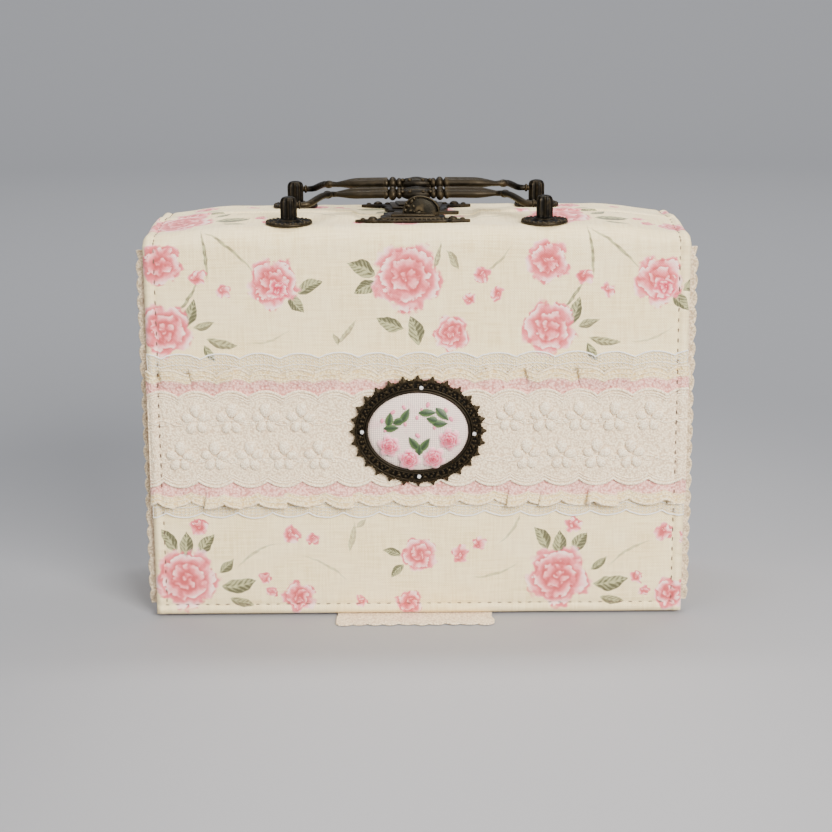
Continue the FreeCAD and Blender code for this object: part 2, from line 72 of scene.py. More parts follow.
HALF_WIDTH = COVER_HIGH.x
FACE = -COVER_LOW.y
INNER_FACE = -COVER_HIGH.y
HEM = COVER_LOW.z - 0.4
FLAP_BOTTOM = FLAP_LOW.z
FLAP_TOP = FLAP_HIGH.z
SPLIT = 0.35
BEND = 8.0
STITCH_INSET = 4.5
STITCH_PITCH = 4.2
HALVES = (("front", -1), ("rear", 1))
HANDS = (("left", -1), ("right", 1))
RIPPLE_SEED = {"front": 0, "rear": 40}
END_GAP = 0.4


# ---------------------------------------------------------------- small tools


def clear():
    bpy.ops.object.select_all(action="DESELECT")


def pick(piece):
    """Select one piece alone and make it the active one."""
    clear()
    piece.select_set(True)
    bpy.context.view_layer.objects.active = piece


def edit_all(piece):
    """Open one piece in edit mode with all of it selected."""
    pick(piece)
    bpy.ops.object.mode_set(mode="EDIT")
    bpy.ops.mesh.select_all(action="SELECT")


def smooth(low, high, value):
    """0 below low, 1 above high, and an even curve between."""
    t = min(max((value - low) / (high - low), 0), 1)
    return t * t * (3 - 2 * t)


def rough(x, y, z=0.0, scale=1.0):
    """Even noise between about -1 and 1."""
    return noise.noise(Vector((x * scale, y * scale, z * scale)))


def spread(low, high, step):
    """Even places from low to high, about a step apart."""
    count = max(1, round((high - low) / step))
    return [low + (high - low) * n / count for n in range(count + 1)]


def surface(name, across, along, place, uv=None):
    """A grid sheet: place(a, b) gives each point, uv(a, b) its cloth coordinates."""
    clear()
    nu, nv = len(across) - 1, len(along) - 1
    bpy.ops.mesh.primitive_grid_add(x_subdivisions=nu, y_subdivisions=nv, size=1)
    piece = bpy.context.object
    piece.name = piece.data.name = name
    mesh = piece.data
    spots = [
        (across[round((v.co.x + 0.5) * nu)], along[round((v.co.y + 0.5) * nv)])
        for v in mesh.vertices
    ]
    for vertex, (a, b) in zip(mesh.vertices, spots):
        vertex.co = Vector(place(a, b)) * MM
    layer = mesh.uv_layers.active
    for loop, cell in zip(mesh.loops, layer.data):
        a, b = spots[loop.vertex_index]
        cell.uv = uv(a, b) if uv else (a, b)
    mesh.update()
    return piece


def join(name, pieces):
    """Several objects as one."""
    clear()
    for piece in pieces:
        piece.select_set(True)
    bpy.context.view_layer.objects.active = pieces[0]
    if len(pieces) > 1:
        bpy.ops.object.join()
    piece = bpy.context.object
    piece.name = piece.data.name = name
    return piece


def tidy_mesh(piece, merge=0.01, outward=True):
    """Merge doubles and point the faces out."""
    edit_all(piece)
    if merge:
        bpy.ops.mesh.remove_doubles(threshold=merge * MM)
    if outward:
        bpy.ops.mesh.normals_make_consistent(inside=False)
    bpy.ops.object.mode_set(mode="OBJECT")
    return piece


def round_off(piece, angle=40):
    """Smooth shading that keeps edges sharper than an angle."""
    pick(piece)
    bpy.ops.object.shade_smooth_by_angle(angle=math.radians(angle))
    return piece


def apply_modifier(piece, kind, **settings):
    """Add a modifier, set it up and apply it."""
    pick(piece)
    modifier = piece.modifiers.new(kind.title(), kind)
    for key, value in settings.items():
        setattr(modifier, key, value)
    bpy.ops.object.modifier_apply(modifier=modifier.name)
    return piece


def coat(piece, *materials):
    """Give a piece its materials, in slot order."""
    piece.data.materials.clear()
    for material in materials:
        piece.data.materials.append(material)
    return piece


def tube(name, path, radius, sides=8, closed=False, taper=None):
    """A round cord or wire along a list of points, made from a bevelled curve."""
    curve = bpy.data.curves.new(name, "CURVE")
    curve.dimensions = "3D"
    curve.bevel_depth = radius * MM
    curve.bevel_resolution = max(0, sides // 2 - 2)
    curve.use_fill_caps = not closed
    spline = curve.splines.new("POLY")
    spline.points.add(len(path) - 1)
    for n, (point, spot) in enumerate(zip(spline.points, path)):
        point.co = (*(Vector(spot) * MM), 1)
        point.radius = taper(n / (len(path) - 1)) if taper else 1
    spline.use_cyclic_u = closed
    piece = bpy.data.objects.new(name, curve)
    bpy.context.collection.objects.link(piece)
    pick(piece)
    bpy.ops.object.convert(target="MESH")
    return bpy.context.object


def stamp(name, source, matrices):
    """Copies of one small piece, joined into a single mesh."""
    verts, faces = [], []
    base = [v.co.copy() for v in source.data.vertices]
    polys = [tuple(p.vertices) for p in source.data.polygons]
    for matrix in matrices:
        start = len(verts)
        verts += [matrix @ (co / MM) * MM for co in base]
        faces += [tuple(start + n for n in poly) for poly in polys]
    mesh = bpy.data.meshes.new(name)
    mesh.from_pydata(verts, [], faces)
    mesh.update()
    piece = bpy.data.objects.new(name, mesh)
    bpy.context.collection.objects.link(piece)
    bpy.data.objects.remove(source)
    return piece


def aim(spot, normal, up=Vector((0, 0, 1)), size=1.0, turn=0.0):
    """A placing matrix: local Z along the normal, local Y near up."""
    z = Vector(normal).normalized()
    x = up.cross(z).normalized()
    y = z.cross(x)
    basis = Matrix((x, y, z)).transposed().to_4x4()
    return (
        Matrix.Translation(Vector(spot)) @ basis @ Matrix.Rotation(turn, 4, "Z")
        @ Matrix.Scale(size, 4)
    )


# ---------------------------------------------------------------- material tools


class Shader:
    """A node material that is built link by link."""

    def __init__(self, name):
        self.material = bpy.data.materials.new(name)
        self.material.use_nodes = True
        self.tree = self.material.node_tree
        self.base = self.tree.nodes["Principled BSDF"]

    def set(self, **values):
        for key, value in values.items():
            socket = self.base.inputs[key.replace("_", " ")]
            if isinstance(value, bpy.types.NodeSocket):
                self.tree.links.new(value, socket)
            elif isinstance(value, tuple) and len(value) == 3:
                socket.default_value = (*value, 1)
            else:
                socket.default_value = value
        return self


def feed(tree, socket, value):
    """Link a socket into an input, or set the input's own value."""
    if isinstance(value, bpy.types.NodeSocket):
        tree.links.new(value, socket)
    elif isinstance(value, (tuple, Vector)) and socket.type == "RGBA" and len(value) == 3:
        socket.default_value = (*value, 1)
    else:
        socket.default_value = value


def put(tree, kind, *inputs, out=0, **settings):
    """Add a node, feed its inputs in order (None leaves one alone), and return an output."""
    node = tree.nodes.new("ShaderNode" + kind)
    for key, value in settings.items():
        setattr(node, key, value)
    for socket, value in zip(node.inputs, inputs):
        if value is not None:
            feed(tree, socket, value)
    return node.outputs[out]


def calc(tree, operation, a, b=0.0, c=0.0):
    return put(tree, "Math", a, b, c, operation=operation)


def vector_calc(tree, operation, a, b=(0, 0, 0), out=0):
    return put(tree, "VectorMath", a, b, operation=operation, out=out)


def remap(tree, value, low, high, to_low=0.0, to_high=1.0, soft=True):
    kind = "SMOOTHSTEP" if soft else "LINEAR"
    return put(tree, "MapRange", value, low, high, to_low, to_high, interpolation_type=kind)


def blend_colour(tree, factor, first, second, kind="MIX"):
    node = tree.nodes.new("ShaderNodeMix")
    node.data_type = "RGBA"
    node.blend_type = kind
    feed(tree, node.inputs[0], factor)
    feed(tree, node.inputs[6], first)
    feed(tree, node.inputs[7], second)
    return node.outputs[2]


def noise_map(tree, vector, scale, detail=3.0, rough_=0.5):
    node = tree.nodes.new("ShaderNodeTexNoise")
    feed(tree, node.inputs["Vector"], vector)
    node.inputs["Scale"].default_value = scale
    node.inputs["Detail"].default_value = detail
    node.inputs["Roughness"].default_value = rough_
    return node.outputs["Fac"]


def cells(tree, vector, scale, feature="F1", out="Distance"):
    node = tree.nodes.new("ShaderNodeTexVoronoi")
    node.feature = feature
    feed(tree, node.inputs["Vector"], vector)
    node.inputs["Scale"].default_value = scale
    return node.outputs[out]


def bump(tree, height, distance, strength=1.0, after=None):
    node = tree.nodes.new("ShaderNodeBump")
    node.inputs["Strength"].default_value = strength
    node.inputs["Distance"].default_value = distance
    feed(tree, node.inputs["Height"], height)
    if after is not None:
        feed(tree, node.inputs["Normal"], after)
    return node.outputs[0]


def cloth_coordinates(tree):
    """The piece's own cloth map, in millimetres."""
    return put(tree, "UVMap", uv_map="UVMap")


def object_mm(tree):
    """Object coordinates in millimetres."""
    place = put(tree, "TexCoord", out=3)
    return vector_calc(tree, "MULTIPLY", place, (1000, 1000, 1000))


def weave(tree, vector, pitch):
    """Threads over and under: a height between 0 and 1."""
    split = tree.nodes.new("ShaderNodeSeparateXYZ")
    wobble = noise_map(tree, vector, 0.25, 2.0)
    feed(tree, split.inputs[0], vector)
    turns = TAU / pitch
    shift = calc(tree, "MULTIPLY", wobble, 2.5)
    x = calc(tree, "MULTIPLY_ADD", split.outputs[0], turns, shift)
    y = calc(tree, "MULTIPLY_ADD", split.outputs[1], turns, shift)
    product = calc(tree, "MULTIPLY", calc(tree, "SINE", x), calc(tree, "SINE", y))
    return calc(tree, "MULTIPLY_ADD", product, 0.5, 0.5)


# ---------------------------------------------------------------- the rose print


def group_sockets(group, inputs, outputs):
    for name, kind in inputs:
        group.interface.new_socket(name, in_out="INPUT", socket_type="NodeSocket" + kind)
    for name, kind in outputs:
        group.interface.new_socket(name, in_out="OUTPUT", socket_type="NodeSocket" + kind)
    start = group.nodes.new("NodeGroupInput")
    end = group.nodes.new("NodeGroupOutput")
    return start, end


def local_place(group, cloth, centre, size, turn, under):
    """Cloth coordinates about a motif's centre, in units of its size.

    A trace of the colour below is added so that the motifs are worked out one after another.
    """
    order = (0.000001, 0.000001, 0.000001)
    cloth = put(group, "VectorMath", under, order, cloth, operation="MULTIPLY_ADD")
    offset = vector_calc(group, "SUBTRACT", cloth, centre)
    turned = put(group, "VectorRotate", offset, None, None, None, None, rotation_type="Z_AXIS")
    feed(group, turned.node.inputs["Angle"], turn)
    scaled = put(group, "VectorMath", turned, operation="SCALE")
    feed(group, scaled.node.inputs["Scale"], calc(group, "DIVIDE", 1.0, size))
    return scaled


def bloom_group():
    """A painted bloom: an uneven rim, and petals that deepen towards the heart of each ring."""
    group = bpy.data.node_groups.new("painted bloom", "ShaderNodeTree")
    start, end = group_sockets(
        group,
        (("Cloth", "Vector"), ("Centre", "Vector"), ("Size", "Float"), ("Turn", "Float"),
         ("Rings", "Float"), ("Wash", "Float"), ("Under", "Color")),
        (("Colour", "Color"),),
    )
    cloth, centre, size, turn, rings, wash, under = start.outputs[:7]
    place = local_place(group, cloth, centre, size, turn, under)
    drift = calc(group, "SUBTRACT", wash, 0.5)
    split = put(group, "SeparateXYZ", place)
    angle = calc(group, "ARCTAN2", split.node.outputs[1], split)
    radius = vector_calc(group, "LENGTH", place, out=1)
    lobes = calc(group, "ABSOLUTE", calc(group, "COSINE", calc(group, "MULTIPLY_ADD", angle, 2.5, 0.6)))
    rim = calc(group, "MULTIPLY_ADD", lobes, 0.22, 0.78)
    rim = calc(group, "MULTIPLY_ADD", drift, 0.35, rim)
    inside = remap(group, calc(group, "SUBTRACT", rim, radius), -0.03, 0.1)
    spiral = calc(group, "DIVIDE", angle, TAU)
    step = calc(group, "MULTIPLY_ADD", radius, rings, spiral)
    step = calc(group, "MULTIPLY_ADD", drift, 1.3, step)
    layer = calc(group, "FLOOR", step)
    petals = calc(group, "MULTIPLY_ADD", layer, 0.37, calc(group, "MULTIPLY", spiral, 4.0))
    across = calc(group, "ABSOLUTE", calc(group, "SUBTRACT", calc(group, "FRACT", petals), 0.5))
    seam = remap(group, across, 0.2, 0.5, 0.0, 0.75)
    base = remap(group, calc(group, "FRACT", step), 0.0, 0.85, 1.0, 0.0)
    fold = calc(group, "MULTIPLY", calc(group, "MAXIMUM", base, seam), 0.62)
    heart = remap(group, radius, 0.0, 1.0, 0.46, 0.0)
    depth = calc(group, "ADD", heart, fold)
    depth = calc(group, "MULTIPLY_ADD", drift, 1.1, depth)
    ramp = group.nodes.new("ShaderNodeValToRGB")
    for place_on, tone in ((0.05, PETAL_TONES[0]), (0.92, PETAL_TONES[-1])):
        ramp.color_ramp.elements[int(place_on > 0.5)].position = place_on
        ramp.color_ramp.elements[int(place_on > 0.5)].color = (*tone, 1)
    for place_on, tone in zip((0.29, 0.58), PETAL_TONES[1:3]):
        ramp.color_ramp.elements.new(place_on).color = (*tone, 1)
    feed(group, ramp.inputs[0], depth)
    cover = calc(group, "MULTIPLY", inside, 0.92)
    group.links.new(blend_colour(group, cover, under, ramp.outputs[0]), end.inputs[0])
    return group


def leaf_group():
    """A painted leaf or stem: a pointed blade along its own X, bent, with a pale midrib."""
    group = bpy.data.node_groups.new("painted leaf", "ShaderNodeTree")
    start, end = group_sockets(
        group,
        (("Cloth", "Vector"), ("Centre", "Vector"), ("Size", "Float"), ("Turn", "Float"),
         ("Width", "Float"), ("Bend", "Float"), ("Wash", "Float"), ("Under", "Color"),
         ("Fade", "Float")),
        (("Colour", "Color"),),
    )
    cloth, centre, size, turn, width, sag, wash, under, fade = start.outputs[:9]
    place = local_place(group, cloth, centre, size, turn, under)
    split = put(group, "SeparateXYZ", place)
    x, y = split, split.node.outputs[1]
    taper = calc(group, "MAXIMUM", calc(group, "SUBTRACT", 1.0, calc(group, "MULTIPLY", x, x)), 0.0)
    off = calc(group, "MULTIPLY_ADD", taper, sag, y)
    far = calc(group, "ABSOLUTE", off)
    lean = calc(group, "MULTIPLY_ADD", x, -0.25, 1.0)
    leaning = calc(group, "MULTIPLY", taper, lean)
    blade = calc(group, "MULTIPLY", leaning, calc(group, "MULTIPLY", width, 1.12))
    inside = remap(group, calc(group, "SUBTRACT", blade, far), 0.0, 0.05)
    share = calc(group, "DIVIDE", far, calc(group, "MAXIMUM", blade, 0.01))
    veins = calc(group, "SINE", calc(group, "MULTIPLY", calc(group, "MULTIPLY_ADD", far, -1.2, x), 19.0))
    shade = remap(group, off, -0.25, 0.25, -0.18, 0.18)
    tone = calc(group, "ADD", wash, remap(group, share, 0.0, 0.25, 0.4, 0.0))
    tone = calc(group, "ADD", calc(group, "MULTIPLY_ADD", veins, 0.2, tone), shade)
    green = blend_colour(group, remap(group, tone, 0.25, 0.95), LEAF_TONES[0], LEAF_TONES[1])
    cover = calc(group, "MULTIPLY", inside, fade)
    group.links.new(blend_colour(group, cover, under, green), end.inputs[0])
    return group


PETAL_TONES = ((0.97, 0.68, 0.63), (0.90, 0.36, 0.37), (0.74, 0.12, 0.16), (0.48, 0.02, 0.05))
LEAF_TONES = ((0.022, 0.030, 0.006), (0.38, 0.37, 0.18))
# Blooms: across, along, radius and number of petal rings, for one repeat of the print.
BLOOMS = (
    (-4, 143, 15.5, 3.6), (-97, 16, 14.5, 3.4), (-58, 141, 11.2, 3.0), (-56, 138, 5, 2),
    (14, 120, 8.3, 2.8), (-102, 122, 12.2, 3.2), (-103, 149, 9.8, 2.2), (0, 26, 8, 2.6),
    (-50, 8, 7.6, 2.6), (-4, 5, 6, 2.4), (-88, 143, 3.8, 1), (-78, 138, 3.4, 1), (26, 144, 4, 1),
    (32, 136, 3.2, 1), (21, 134, 2.8, 1), (-91, 39, 4, 1), (-53, 35, 4, 1), (-44, 33, 3.2, 1),
    (17, 26, 4, 1), (25, 31, 3.2, 1), (-64, 16, 2.8, 1), (-61, 10, 2.8, 1), (-30, 66, 8, 2.6),
    (-80, 84, 9, 2.8), (20, 88, 9, 2.8), (-24, 6, 3, 1), (36, 60, 4, 1),
)
# Leaves and stems: across, along, half length, turn in degrees, width, bend and strength.
LEAVES = (
    (-22.6, 146.5, 6.2, 155, 0.5, 0.1, 1), (-20.6, 138.6, 5.4, 205, 0.5, 0.1, 1),
    (-11, 124.4, 6, 160, 0.46, -0.1, 1), (-1.4, 121.4, 6.4, 105, 0.46, 0.1, 1),
    (-92, 129, 6.6, 70, 0.38, 0.12, 1), (-86, 124, 4.6, 15, 0.36, 0.1, 0.9),
    (-79, 117, 7, -12, 0.26, 0.15, 0.9), (-84, 112, 4.4, -60, 0.36, 0.1, 1),
    (-48.5, 132.6, 5, -50, 0.5, 0.1, 1), (-43, 139.3, 5.6, 28, 0.44, -0.1, 1),
    (-29, 121, 7, 50, 0.14, 0.12, 0.7), (-33, 118, 3, 110, 0.3, 0.1, 0.7),
    (-104, 33, 6, 120, 0.42, 0.1, 1), (-97, 31, 6, 85, 0.44, 0.1, 1),
    (-88, 31, 5.6, 55, 0.44, -0.1, 1), (-75, 14, 7.6, 10, 0.4, 0.12, 1),
    (-80, 22, 4.4, 45, 0.4, 0.1, 1), (-74, 6, 5.4, -15, 0.36, 0.1, 0.9),
    (-11, 27, 4, 165, 0.42, 0.1, 1), (-9, 19, 4, 230, 0.42, 0.1, 1),
    (-28, 34, 7, 80, 0.16, 0.1, 0.6), (-24, 40, 3, 40, 0.34, 0.1, 0.6),
    (-86, 154, 13, 97, 0.065, 0.08, 0.95), (-92.6, 136, 10.5, 55, 0.07, 0.1, 0.95),
    (-75.2, 153, 17, -42, 0.05, -0.1, 0.95), (30, 150, 12, 40, 0.06, 0.2, 0.7),
    (8, 152, 6, 75, 0.16, 0.1, 0.8), (14, 150, 4.6, 120, 0.34, 0.1, 0.8),
    (38, 40, 12, 60, 0.06, 0.2, 0.6), (32, 20, 12, 20, 0.06, 0.2, 0.6),
    (-66, 26, 12, 30, 0.06, -0.2, 0.6), (-40, 20, 13, 150, 0.05, 0.2, 0.55),
    (-60, 120, 12, 20, 0.05, 0.2, 0.5), (20, 60, 12, -30, 0.06, 0.2, 0.6),
    (-55, 76, 9, 60, 0.3, 0.1, 0.8), (0, 76, 6, 30, 0.36, 0.1, 0.9),
)
REPEAT_WIDE = 155.0
REPEAT_TALL = 168.0
REPEAT_START = -113.0


def printed_colour(tree, cloth, ground):
    """The rose print over a ground colour, repeating across and along the cloth."""
    bloom = bloom_group()
    leaf = leaf_group()
    split = put(tree, "SeparateXYZ", cloth)
    across = calc(tree, "SUBTRACT", split, REPEAT_START)
    across = calc(tree, "ADD", calc(tree, "FLOORED_MODULO", across, REPEAT_WIDE), REPEAT_START)
    along = calc(tree, "FLOORED_MODULO", split.node.outputs[1], REPEAT_TALL)
    place = put(tree, "CombineXYZ", across, along, 0.0)
    wash = noise_map(tree, cloth, 0.4, 3.0, 0.6)
    stray = put(tree, "TexNoise", cloth, None, 0.22, 2.0, out=1)
    stray = vector_calc(tree, "SUBTRACT", stray, (0.5, 0.5, 0.5))
    blade_place = put(tree, "VectorMath", stray, (2.0, 2.0, 0.0), place, operation="MULTIPLY_ADD")
    petal_place = put(tree, "VectorMath", stray, (5.0, 5.0, 0.0), place, operation="MULTIPLY_ADD")
    colour = ground
    for x, y, size, turn, width, sag, strength in LEAVES:
        node = tree.nodes.new("ShaderNodeGroup")
        node.node_tree = leaf
        values = (
            blade_place, (x, y, 0), size, -math.radians(turn), width, sag, wash, colour,
            strength * 0.92,
        )
        for socket, value in zip(node.inputs, values):
            feed(tree, socket, value)
        colour = node.outputs[0]
    for n, (x, y, size, rings) in enumerate(BLOOMS):
        node = tree.nodes.new("ShaderNodeGroup")
        node.node_tree = bloom
        values = (petal_place, (x, y, 0), size, n * 1.3, rings, wash, colour)
        for socket, value in zip(node.inputs, values):
            feed(tree, socket, value)
        colour = node.outputs[0]
    return colour


# ---------------------------------------------------------------- materials


def rose_cloth():
    """Cream linen with the rose print."""
    shader = Shader("rose linen")
    tree = shader.tree
    cloth = cloth_coordinates(tree)
    threads = weave(tree, cloth, 0.95)
    slub = noise_map(tree, vector_calc(tree, "MULTIPLY", cloth, (0.08, 1.4, 1)), 1.0, 4.0)
    warp = noise_map(tree, vector_calc(tree, "MULTIPLY", cloth, (1.4, 0.08, 1)), 1.0, 4.0)
    mottle = noise_map(tree, cloth, 0.05, 3.0)
    streak = calc(tree, "ADD", calc(tree, "MULTIPLY", slub, 0.5), calc(tree, "MULTIPLY", warp, 0.5))
    ground = blend_colour(
        tree, remap(tree, streak, 0.38, 0.62), (0.83, 0.64, 0.315), (0.98, 0.81, 0.45)
    )
    ground = blend_colour(tree, remap(tree, mottle, 0.3, 0.8, 0, 0.4), ground, (0.98, 0.84, 0.55))
    colour = printed_colour(tree, cloth, ground)
    # The low places between the threads are darkened: painted shade between the threads.
    dark = remap(tree, threads, 0.0, 0.6, 0.8, 1.02)
    grey = put(tree, "CombineXYZ", dark, dark, dark)
    colour = blend_colour(tree, 1.0, colour, grey, "MULTIPLY")
    height = calc(tree, "ADD", threads, calc(tree, "MULTIPLY", streak, 1.2))
    shader.set(Base_Color=colour, Roughness=0.85, Normal=bump(tree, height, 0.00022, 0.5))
    return shader.set(Sheen_Weight=0.15, Sheen_Roughness=0.5).material


def plain_cloth(name, dark, light, pitch, depth=0.0002, map_cloth=True):
    """A plain woven cloth of two close tones."""
    shader = Shader(name)
    tree = shader.tree
    cloth = cloth_coordinates(tree) if map_cloth else object_mm(tree)
    threads = weave(tree, cloth, pitch)
    mottle = noise_map(tree, cloth, 0.3, 4.0)
    # The thread height darkens the low places between the threads as painted shade; the mottle varies the
    # tone at random.
    tone = calc(tree, "ADD", calc(tree, "MULTIPLY", threads, 0.4), calc(tree, "MULTIPLY", mottle, 0.6))
    shader.set(Base_Color=blend_colour(tree, remap(tree, tone, 0.25, 0.75), dark, light))
    shader.set(Roughness=0.88, Sheen_Weight=0.2)
    return shader.set(Normal=bump(tree, threads, depth, 0.6)).material


def stitched_lace(name, dark, light, grain=1.1, depth=0.0004):
    """Thick cotton thread, knotted and brushed, with shadow between the threads."""
    shader = Shader(name)
    tree = shader.tree
    place = object_mm(tree)
    knots = cells(tree, place, grain, "SMOOTH_F1")
    fine = noise_map(tree, place, 2.4, 3.0)
    height = calc(tree, "SUBTRACT", calc(tree, "MULTIPLY", fine, 0.6), knots)
    tone = remap(tree, height, -0.38, 0.14)
    shader.set(Base_Color=blend_colour(tree, tone, dark, light), Roughness=0.82)
    shader.set(Sheen_Weight=0.25, Normal=bump(tree, height, depth, 0.8))
    return shader.material


def crochet_colours(name, inner_dark, inner, outer_dark, outer, border):
    """Crochet that turns from one yarn to another across the band. The map's V runs 0 to 1."""
    shader = Shader(name)
    tree = shader.tree
    place = object_mm(tree)
    knots = cells(tree, place, 1.15, "SMOOTH_F1")
    fine = noise_map(tree, place, 2.8, 3.0)
    height = calc(tree, "SUBTRACT", calc(tree, "MULTIPLY", fine, 0.7), knots)
    # The low places between the knots take the darker tone of each yarn: painted shade.
    tone = remap(tree, height, -0.34, 0.2)
    split = put(tree, "SeparateXYZ", cloth_coordinates(tree))
    row = calc(tree, "MULTIPLY_ADD", noise_map(tree, place, 0.5, 2.0), 0.16, -0.08)
    row = calc(tree, "ADD", row, split.node.outputs[1])
    turn = remap(tree, row, border - 0.05, border + 0.07)
    near = blend_colour(tree, tone, inner_dark, inner)
    far = blend_colour(tree, tone, outer_dark, outer)
    # Small deep red spots in the inner yarn: painted shade in the holes of the crochet.
    pits = remap(tree, cells(tree, place, 0.28), 0.08, 0.2, 0.6, 0.0)
    near = blend_colour(tree, pits, near, (0.34, 0.07, 0.08))
    shader.set(Base_Color=blend_colour(tree, turn, near, far), Roughness=0.85)
    shader.set(Sheen_Weight=0.25, Normal=bump(tree, height, 0.0005, 0.9))
    return shader.material


def old_bronze(name="old bronze", bright=(0.058, 0.041, 0.020), dark=(0.006, 0.005, 0.0035), grain=0.5):
    """Darkened cast bronze, with a painted highlight that lightens its convex edges."""
    shader = Shader(name)
    tree = shader.tree
    place = object_mm(tree)
    patina = noise_map(tree, place, grain, 5.0, 0.65)
    fine = noise_map(tree, place, 4.0, 3.0)
    # Pointiness lightens the convex edges towards the bright tone: a painted highlight.
    convexity = tree.nodes.new("ShaderNodeNewGeometry").outputs["Pointiness"]
    edge = remap(tree, convexity, 0.51, 0.60)
    mix = calc(tree, "MULTIPLY_ADD", edge, 0.6, remap(tree, patina, 0.5, 0.75, 0.0, 0.4))
    shader.set(Base_Color=blend_colour(tree, mix, dark, bright), Metallic=0.85)
    shader.set(Roughness=remap(tree, patina, 0.3, 0.7, 0.34, 0.62))
    return shader.set(Normal=bump(tree, fine, 0.00008, 0.5)).material


def satin_metal(name, tone, roughness=0.35):
    shader = Shader(name)
    tree = shader.tree
    place = object_mm(tree)
    streak = noise_map(tree, vector_calc(tree, "MULTIPLY", place, (0.5, 0.5, 6)), 1.0, 3.0)
    shader.set(Base_Color=blend_colour(tree, streak, tuple(c * 0.75 for c in tone), tone))
    shader.set(Metallic=1.0, Roughness=remap(tree, streak, 0.3, 0.7, roughness - 0.08, roughness + 0.1))
    return shader.set(Normal=bump(tree, streak, 0.00003, 0.4)).material


def papered_board():
    """Greyboard covered with a finely checked pink paper, for the trays."""
    shader = Shader("checked paper")
    tree = shader.tree
    place = object_mm(tree)
    split = put(tree, "SeparateXYZ", place)
    stripes = []
    for axis in range(3):
        wave = calc(tree, "SINE", calc(tree, "MULTIPLY", split.node.outputs[axis], TAU / 4.0))
        stripes.append(remap(tree, wave, -0.15, 0.15))
    weight = calc(tree, "MULTIPLY", calc(tree, "ADD", calc(tree, "ADD", *stripes[:2]), stripes[2]), 0.33)
    speck = noise_map(tree, place, 1.5, 4.0)
    colour = blend_colour(tree, weight, (0.86, 0.80, 0.72), (0.78, 0.45, 0.46))
    colour = blend_colour(tree, remap(tree, speck, 0.4, 0.8, 0, 0.3), colour, (0.9, 0.86, 0.8))
    shader.set(Base_Color=colour, Roughness=0.7, Normal=bump(tree, speck, 0.00008, 0.6))
    return shader.material


def canvas_work():
    """White counted canvas: an open square weave with a faint pink wash near the rim."""
    shader = Shader("counted canvas")
    tree = shader.tree
    place = object_mm(tree)
    split = put(tree, "SeparateXYZ", place)
    lines = []
    for axis in (0, 2):
        wave = calc(tree, "SINE", calc(tree, "MULTIPLY", split.node.outputs[axis], TAU / 0.8))
        lines.append(remap(tree, wave, 0.45, 0.9))
    holes = calc(tree, "MAXIMUM", *lines)
    blush = noise_map(tree, place, 0.16, 3.0)
    base = blend_colour(tree, remap(tree, blush, 0.5, 0.75, 0, 0.5), (0.92, 0.74, 0.62), (0.90, 0.48, 0.50))
    # The recessed holes between the canvas threads are darkened: painted shade.
    colour = blend_colour(tree, calc(tree, "MULTIPLY", holes, 0.55), base, (0.22, 0.16, 0.19))
    shader.set(Base_Color=colour, Roughness=0.75, Normal=bump(tree, holes, -0.00012, 0.7))
    return shader.material


def ribbon(name, deep, pale, centre_pull=1.0):
    """Shaded silk ribbon: the map's V runs from the heart (0) to the rim (1)."""
    shader = Shader(name)
    tree = shader.tree
    split = put(tree, "SeparateXYZ", cloth_coordinates(tree))
    fray = noise_map(tree, object_mm(tree), 1.6, 3.0)
    tone = calc(tree, "MULTIPLY_ADD", fray, 0.5, calc(tree, "MULTIPLY", split.node.outputs[1], centre_pull))
    tone = remap(tree, calc(tree, "SUBTRACT", tone, 0.25), 0.15, 0.95)
    shader.set(Base_Color=blend_colour(tree, tone, deep, pale), Roughness=0.5, Sheen_Weight=0.3)
    return shader.set(Normal=bump(tree, fray, 0.00015, 0.6)).material


def thread(name, tone, twist_shade=0.55):
    shader = Shader(name)
    tree = shader.tree
    twist = put(tree, "TexWave", object_mm(tree), 2.4, 1.5, out=1, bands_direction="DIAGONAL")
    shader.set(Base_Color=blend_colour(tree, twist, tuple(c * twist_shade for c in tone), tone))
    return shader.set(Roughness=0.75, Normal=bump(tree, twist, 0.0001, 0.6)).material


def tiny_crystal():
    shader = Shader("paste stone")
    tree = shader.tree
    # Each cell runs from white at its middle to grey at its rim: painted reflections on the facets.
    facet = cells(tree, object_mm(tree), 1.6, out="Distance")
    shader.set(Base_Color=blend_colour(tree, facet, (0.9, 0.9, 0.88), (0.45, 0.45, 0.47)))
    return shader.set(Roughness=0.12, Coat_Weight=0.8, Specular_IOR_Level=0.8).material


ROSE_CLOTH = rose_cloth()
LINING = plain_cloth("pink lining", (0.66, 0.34, 0.36), (0.85, 0.56, 0.56), 0.7)
BOARD_CLOTH = plain_cloth("cream lining", (0.66, 0.58, 0.45), (0.80, 0.74, 0.62), 0.7, map_cloth=False)
IVORY_LACE = stitched_lace("ivory cotton lace", (0.66, 0.48, 0.30), (1.0, 0.83, 0.56), 1.3, 0.0005)
RAISED_THREAD = stitched_lace("raised ivory thread", (0.68, 0.51, 0.33), (1.0, 0.88, 0.65), 1.9, 0.00025)
NET_THREAD = thread("white net thread", (0.98, 0.94, 0.86), 0.85)
FRILL = crochet_colours(
    "pink and cream crochet", (0.62, 0.24, 0.20), (0.98, 0.60, 0.49), (0.74, 0.51, 0.22),
    (0.99, 0.83, 0.49), 0.67,
)
EDGING_YARN = stitched_lace("beige crochet", (0.46, 0.34, 0.20), (0.82, 0.67, 0.44), 1.4)
BROWN_THREAD = thread("brown thread", (0.16, 0.10, 0.07))
BRONZE = old_bronze()
BRASS = satin_metal("satin brass", (0.62, 0.45, 0.20))
STEEL = satin_metal("satin steel", (0.55, 0.53, 0.50), 0.4)
CHECKED_PAPER = papered_board()
CANVAS = canvas_work()
ROSE_RIBBON = ribbon("shaded pink ribbon", (0.50, 0.01, 0.06), (0.92, 0.52, 0.56))
